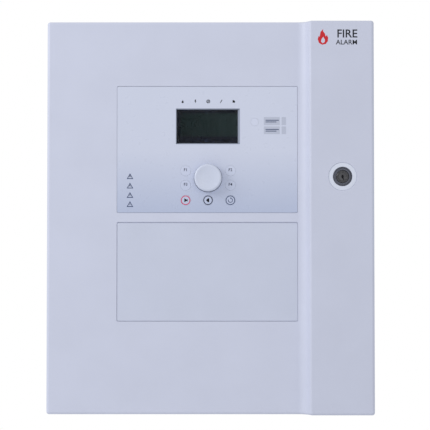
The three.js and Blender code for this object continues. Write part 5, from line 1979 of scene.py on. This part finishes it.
@dataclass
class Wiring:
    """The leads inside the cabinet and the flat cable that crosses to the cover."""

    radius: float = 1.6
    conductors: int = 22
    pitch: float = 1.273

    def lead(self, node: str, route: Sequence[Point], finish: Finish) -> None:
        """Draws the lead that stands for a CAD node, along points of x, depth and z."""
        wire = Form().tube(route, self.radius).solid(node + "_wire")
        dress(wire, finish, Body.CABINET, [node])

    def battery_route(self, x: float, offset: float) -> list[Point]:
        """The way from a battery's tab to its socket on the main board."""
        d, z, end = 54.0, -105.4, (-38.0 + offset, 23.2, -85.0)
        to = copysign(1.0, end[0] - x)
        return [(x, d, z), (x, d, z + 4), (x + to * 8, d - 4, z + 8), (end[0] - to * 20, d - 18, z + 9),
                (end[0] - to * 3, end[1] + 8, end[2] - 2), (end[0], end[1] + 4, end[2]), end]

    def build(self) -> None:
        """Draws every lead."""
        self.lead("battery_lead_red", self.battery_route(-142, 0), RED_WIRE)
        self.lead("battery_lead_black", self.battery_route(142, 12), BLACK_WIRE)
        link = [(-13, 54, -105.4), (-13, 54, -100.4), (-8, 54, -97.4), (8, 54, -97.4), (13, 54, -100.4),
                (13, 54, -105.4)]
        self.lead("battery_link_lead", link, RED_WIRE)
        refine("earth_lead", EARTH_WIRE, bevel=0.0)
        refine("mains_lead", GREY_PLASTIC, bevel=0.0)
        refine("supply_lead", BLACK_WIRE, bevel=0.0)
        self.ribbon()

    def sweep(self, finish: Finish) -> Recipe:
        """A recipe that runs flat-cable cores side by side along its base's edges.

        Args:
            finish: Their finish.

        Returns:
            The recipe, with inputs "cores", "pitch", "first" and "section".
        """
        recipe = Recipe("flat_cable_maker_" + finish.name)
        cores, pitch = recipe.size("cores", 4), recipe.size("pitch", MM)
        first, section = recipe.size("first", 0.0), recipe.size("section", (MM, MM, 1.0))
        path = recipe.add("GeometryNodeMeshToCurve", {0: recipe.entry.outputs[0]}).outputs[0]
        flat = recipe.add("GeometryNodeSetCurveNormal", {"Curve": path}, mode="Z_UP").outputs[0]
        ring = recipe.add("GeometryNodeCurvePrimitiveCircle", {"Resolution": 12, "Radius": 1.0}).outputs[0]
        oval = recipe.add("GeometryNodeTransform", {"Geometry": ring, "Scale": section}).outputs[0]
        core = recipe.add("GeometryNodeCurveToMesh", {"Curve": flat, "Profile Curve": oval, "Fill Caps": True})
        line = {"Count": cores, "Start Location": recipe.vector(0.0, 0.0, first),
                "Offset": recipe.vector(0.0, 0.0, pitch)}
        spots = recipe.add("GeometryNodeMeshLine", line, mode="OFFSET").outputs[0]
        return recipe.end(recipe.repeat(spots, core.outputs[0]), finish)

    def ribbon(self) -> None:
        """Runs the flat cable from the main board round the hinge side to the board on the cover."""
        turns = [(-50, 22.2), (-51, 36), (-62, 50), (-94.6, 50.5), (-125.2, 53), (-139.2, 62), (-137.2, 73),
                 (-125.2, 77), (-99.6, 76), (-91.1, 77), (-89.6, 79.2)]
        path = [tuple(p) for p in smooth_path([Vector((x, d, 0.0)) for x, d in turns], 9)]
        pairs = [(i, i + 1) for i in range(len(path) - 1)]
        box = Extent.of("ribbon_cable")
        low = box.z0 + self.pitch / 2
        groups = ((RED_CORE, 1, low), (FLAT_CABLE, self.conductors - 1, low + self.pitch))
        for finish, cores, first in groups:
            made = self.sweep(finish).make("ribbon_" + finish.name, path, pairs, cores=cores, first=first * MM,
                                           pitch=self.pitch * MM, section=(0.45 * MM, 0.66 * MM, 1.0))
            made.data.materials.clear()
            made.data.materials.append(finish.material())
            made.data.shade_smooth()
            LOG.info("%s: %d faces between cabinet and door", made.name, len(made.data.polygons))
            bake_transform(made)
            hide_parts("ribbon_cable")


@dataclass
class ControlBoard:
    """The boards behind the cover, with the display's frame, key switches, encoder and sounder."""

    hardware: Hardware
    controls: Controls
    board: Extent = box_of("ui_board")
    back: float = 85.5
    front: float = 87.1

    def substrate(self) -> None:
        """Makes the bare board with its holes."""
        b = self.board
        screws = [Extent.of(name) for name in DOOR_SCREWS]
        plate = Form().block((b.x0, b.x1), (self.back, self.front), (b.z0, b.z1)).solid("control_substrate")
        carve(plate, [Form().disc(s.x, s.z, 1.6, (self.back - 1, self.front + 1), 24) for s in screws])
        dress(plate, BOARD_GREEN, Body.DOOR, ["ui_board"], 0.15, 1)

    def switches(self) -> None:
        """Makes a small push switch behind each key."""
        bases, tops = Form(), Form()
        for name in ("f1", "f2", "f3", "f4", "start", "silence", "reset", "delay"):
            x, z, _ = self.controls.key("key_" + name)
            bases.block((x - 3, x + 3), (self.front, self.front + 3.1), (z - 3, z + 3))
            tops.disc(x, z, 1.75, (self.front + 3.1, self.front + 4.1), 24)
        dress(bases.solid("switch_bases"), GREY_PLASTIC, Body.DOOR, bevel=0.2)
        dress(tops.solid("switch_tops"), CHIP_BLACK, Body.DOOR)

    def back_parts(self) -> None:
        """Makes what stands on the board's back: the socket, chips and small parts."""
        b, back = self.board, self.back
        socket = Form().block((-93.6, -85.6), (79.5, back), (22, 50)).solid("control_socket")
        carve(socket, [Form().block((-92.6, -86.6), (78.5, 80.7), (23, 49))])
        dress(socket, CHIP_BLACK, Body.DOOR, bevel=0.25)
        chips, edges = Form(), []
        for x, z, half in ((-62.0, 40.0, 7.0), (30.0, 60.0, 5.0), (62.0, 60.0, 5.0)):
            chips.block((x - half, x + half), (back - 2.0, back - 0.3), (z - half, z + half))
            edges += [((x + s * (half + 0.7), back - 0.4, z - half + 1.2),
                       (x + s * (half + 0.7), back - 0.4, z + half - 1.2)) for s in (-1, 1)]
        dress(chips.solid("control_chips"), CHIP_BLACK, Body.DOOR, bevel=0.3)
        legs = row_recipe("control_leg_maker", TIN).along("control_legs", edges, count=8,
                                                          size=(1.6 * MM, 0.6 * MM, 0.5 * MM))
        dress(legs, TIN, Body.DOOR)
        rows = [(-78, -30, 66), (-78, -20, 60), (-40, 12, 40), (-40, -12, 24), (20, 84, 46), (20, 54, 30),
                (20, 52, 24), (-80, 40, 100), (-80, 40, 92), (50, 86, 84)]
        lines = [((x0, back - 0.5, z), (x1, back - 0.5, z)) for x0, x1, z in rows]
        strew(("control_small", "control_small_ends"), lines, (2.0, 0.9, 1.2), 12, 5, Body.DOOR)

    def sounder(self) -> None:
        """Turns the sounder with its small opening."""
        node = Extent.of("buzzer")
        r, back = node.width / 2, node.d0
        profile = [(0, back + 2.2), (1.1, back + 2.2), (1.1, back), (r - 0.6, back), (r, back + 0.6), (r, node.d1),
                   (0, node.d1)]
        dress(Form().turned(node.x, node.z, profile, 56).solid("sounder"), BLACK_PLASTIC, Body.DOOR,
              ["buzzer"])

    def build(self) -> None:
        """Makes the boards and their parts."""
        self.substrate()
        self.switches()
        self.back_parts()
        self.sounder()
        refine("display_board", BOARD_GREEN, Body.DOOR, 0.15)
        refine("display_frame", ZINC, Body.DOOR, 0.2)
        refine("encoder_body", CHIP_BLACK, Body.DOOR, 0.2)
        self.hardware.fixing(DOOR_SCREWS, False, Body.DOOR)
        self.hardware.fixing(["cam_screw"], False, Body.LOCK)


def main() -> None:
    """Builds the room and then the panel, from the outside in."""
    logging.basicConfig(level=logging.INFO, format="%(name)s: %(message)s")
    Studio().build()
    controls, hardware = Controls(), Hardware()
    for part in (Cover(controls), BlankPlate(controls), Overlay(controls), Emblem(), Display(controls), Dial(),
                 Keypad(controls), Lock(), BackBox(), MainBoard(hardware), PowerSupply(hardware), Batteries(),
                 Wiring(), ControlBoard(hardware, controls)):
        part.build()


if __name__ == "__main__":
    main()
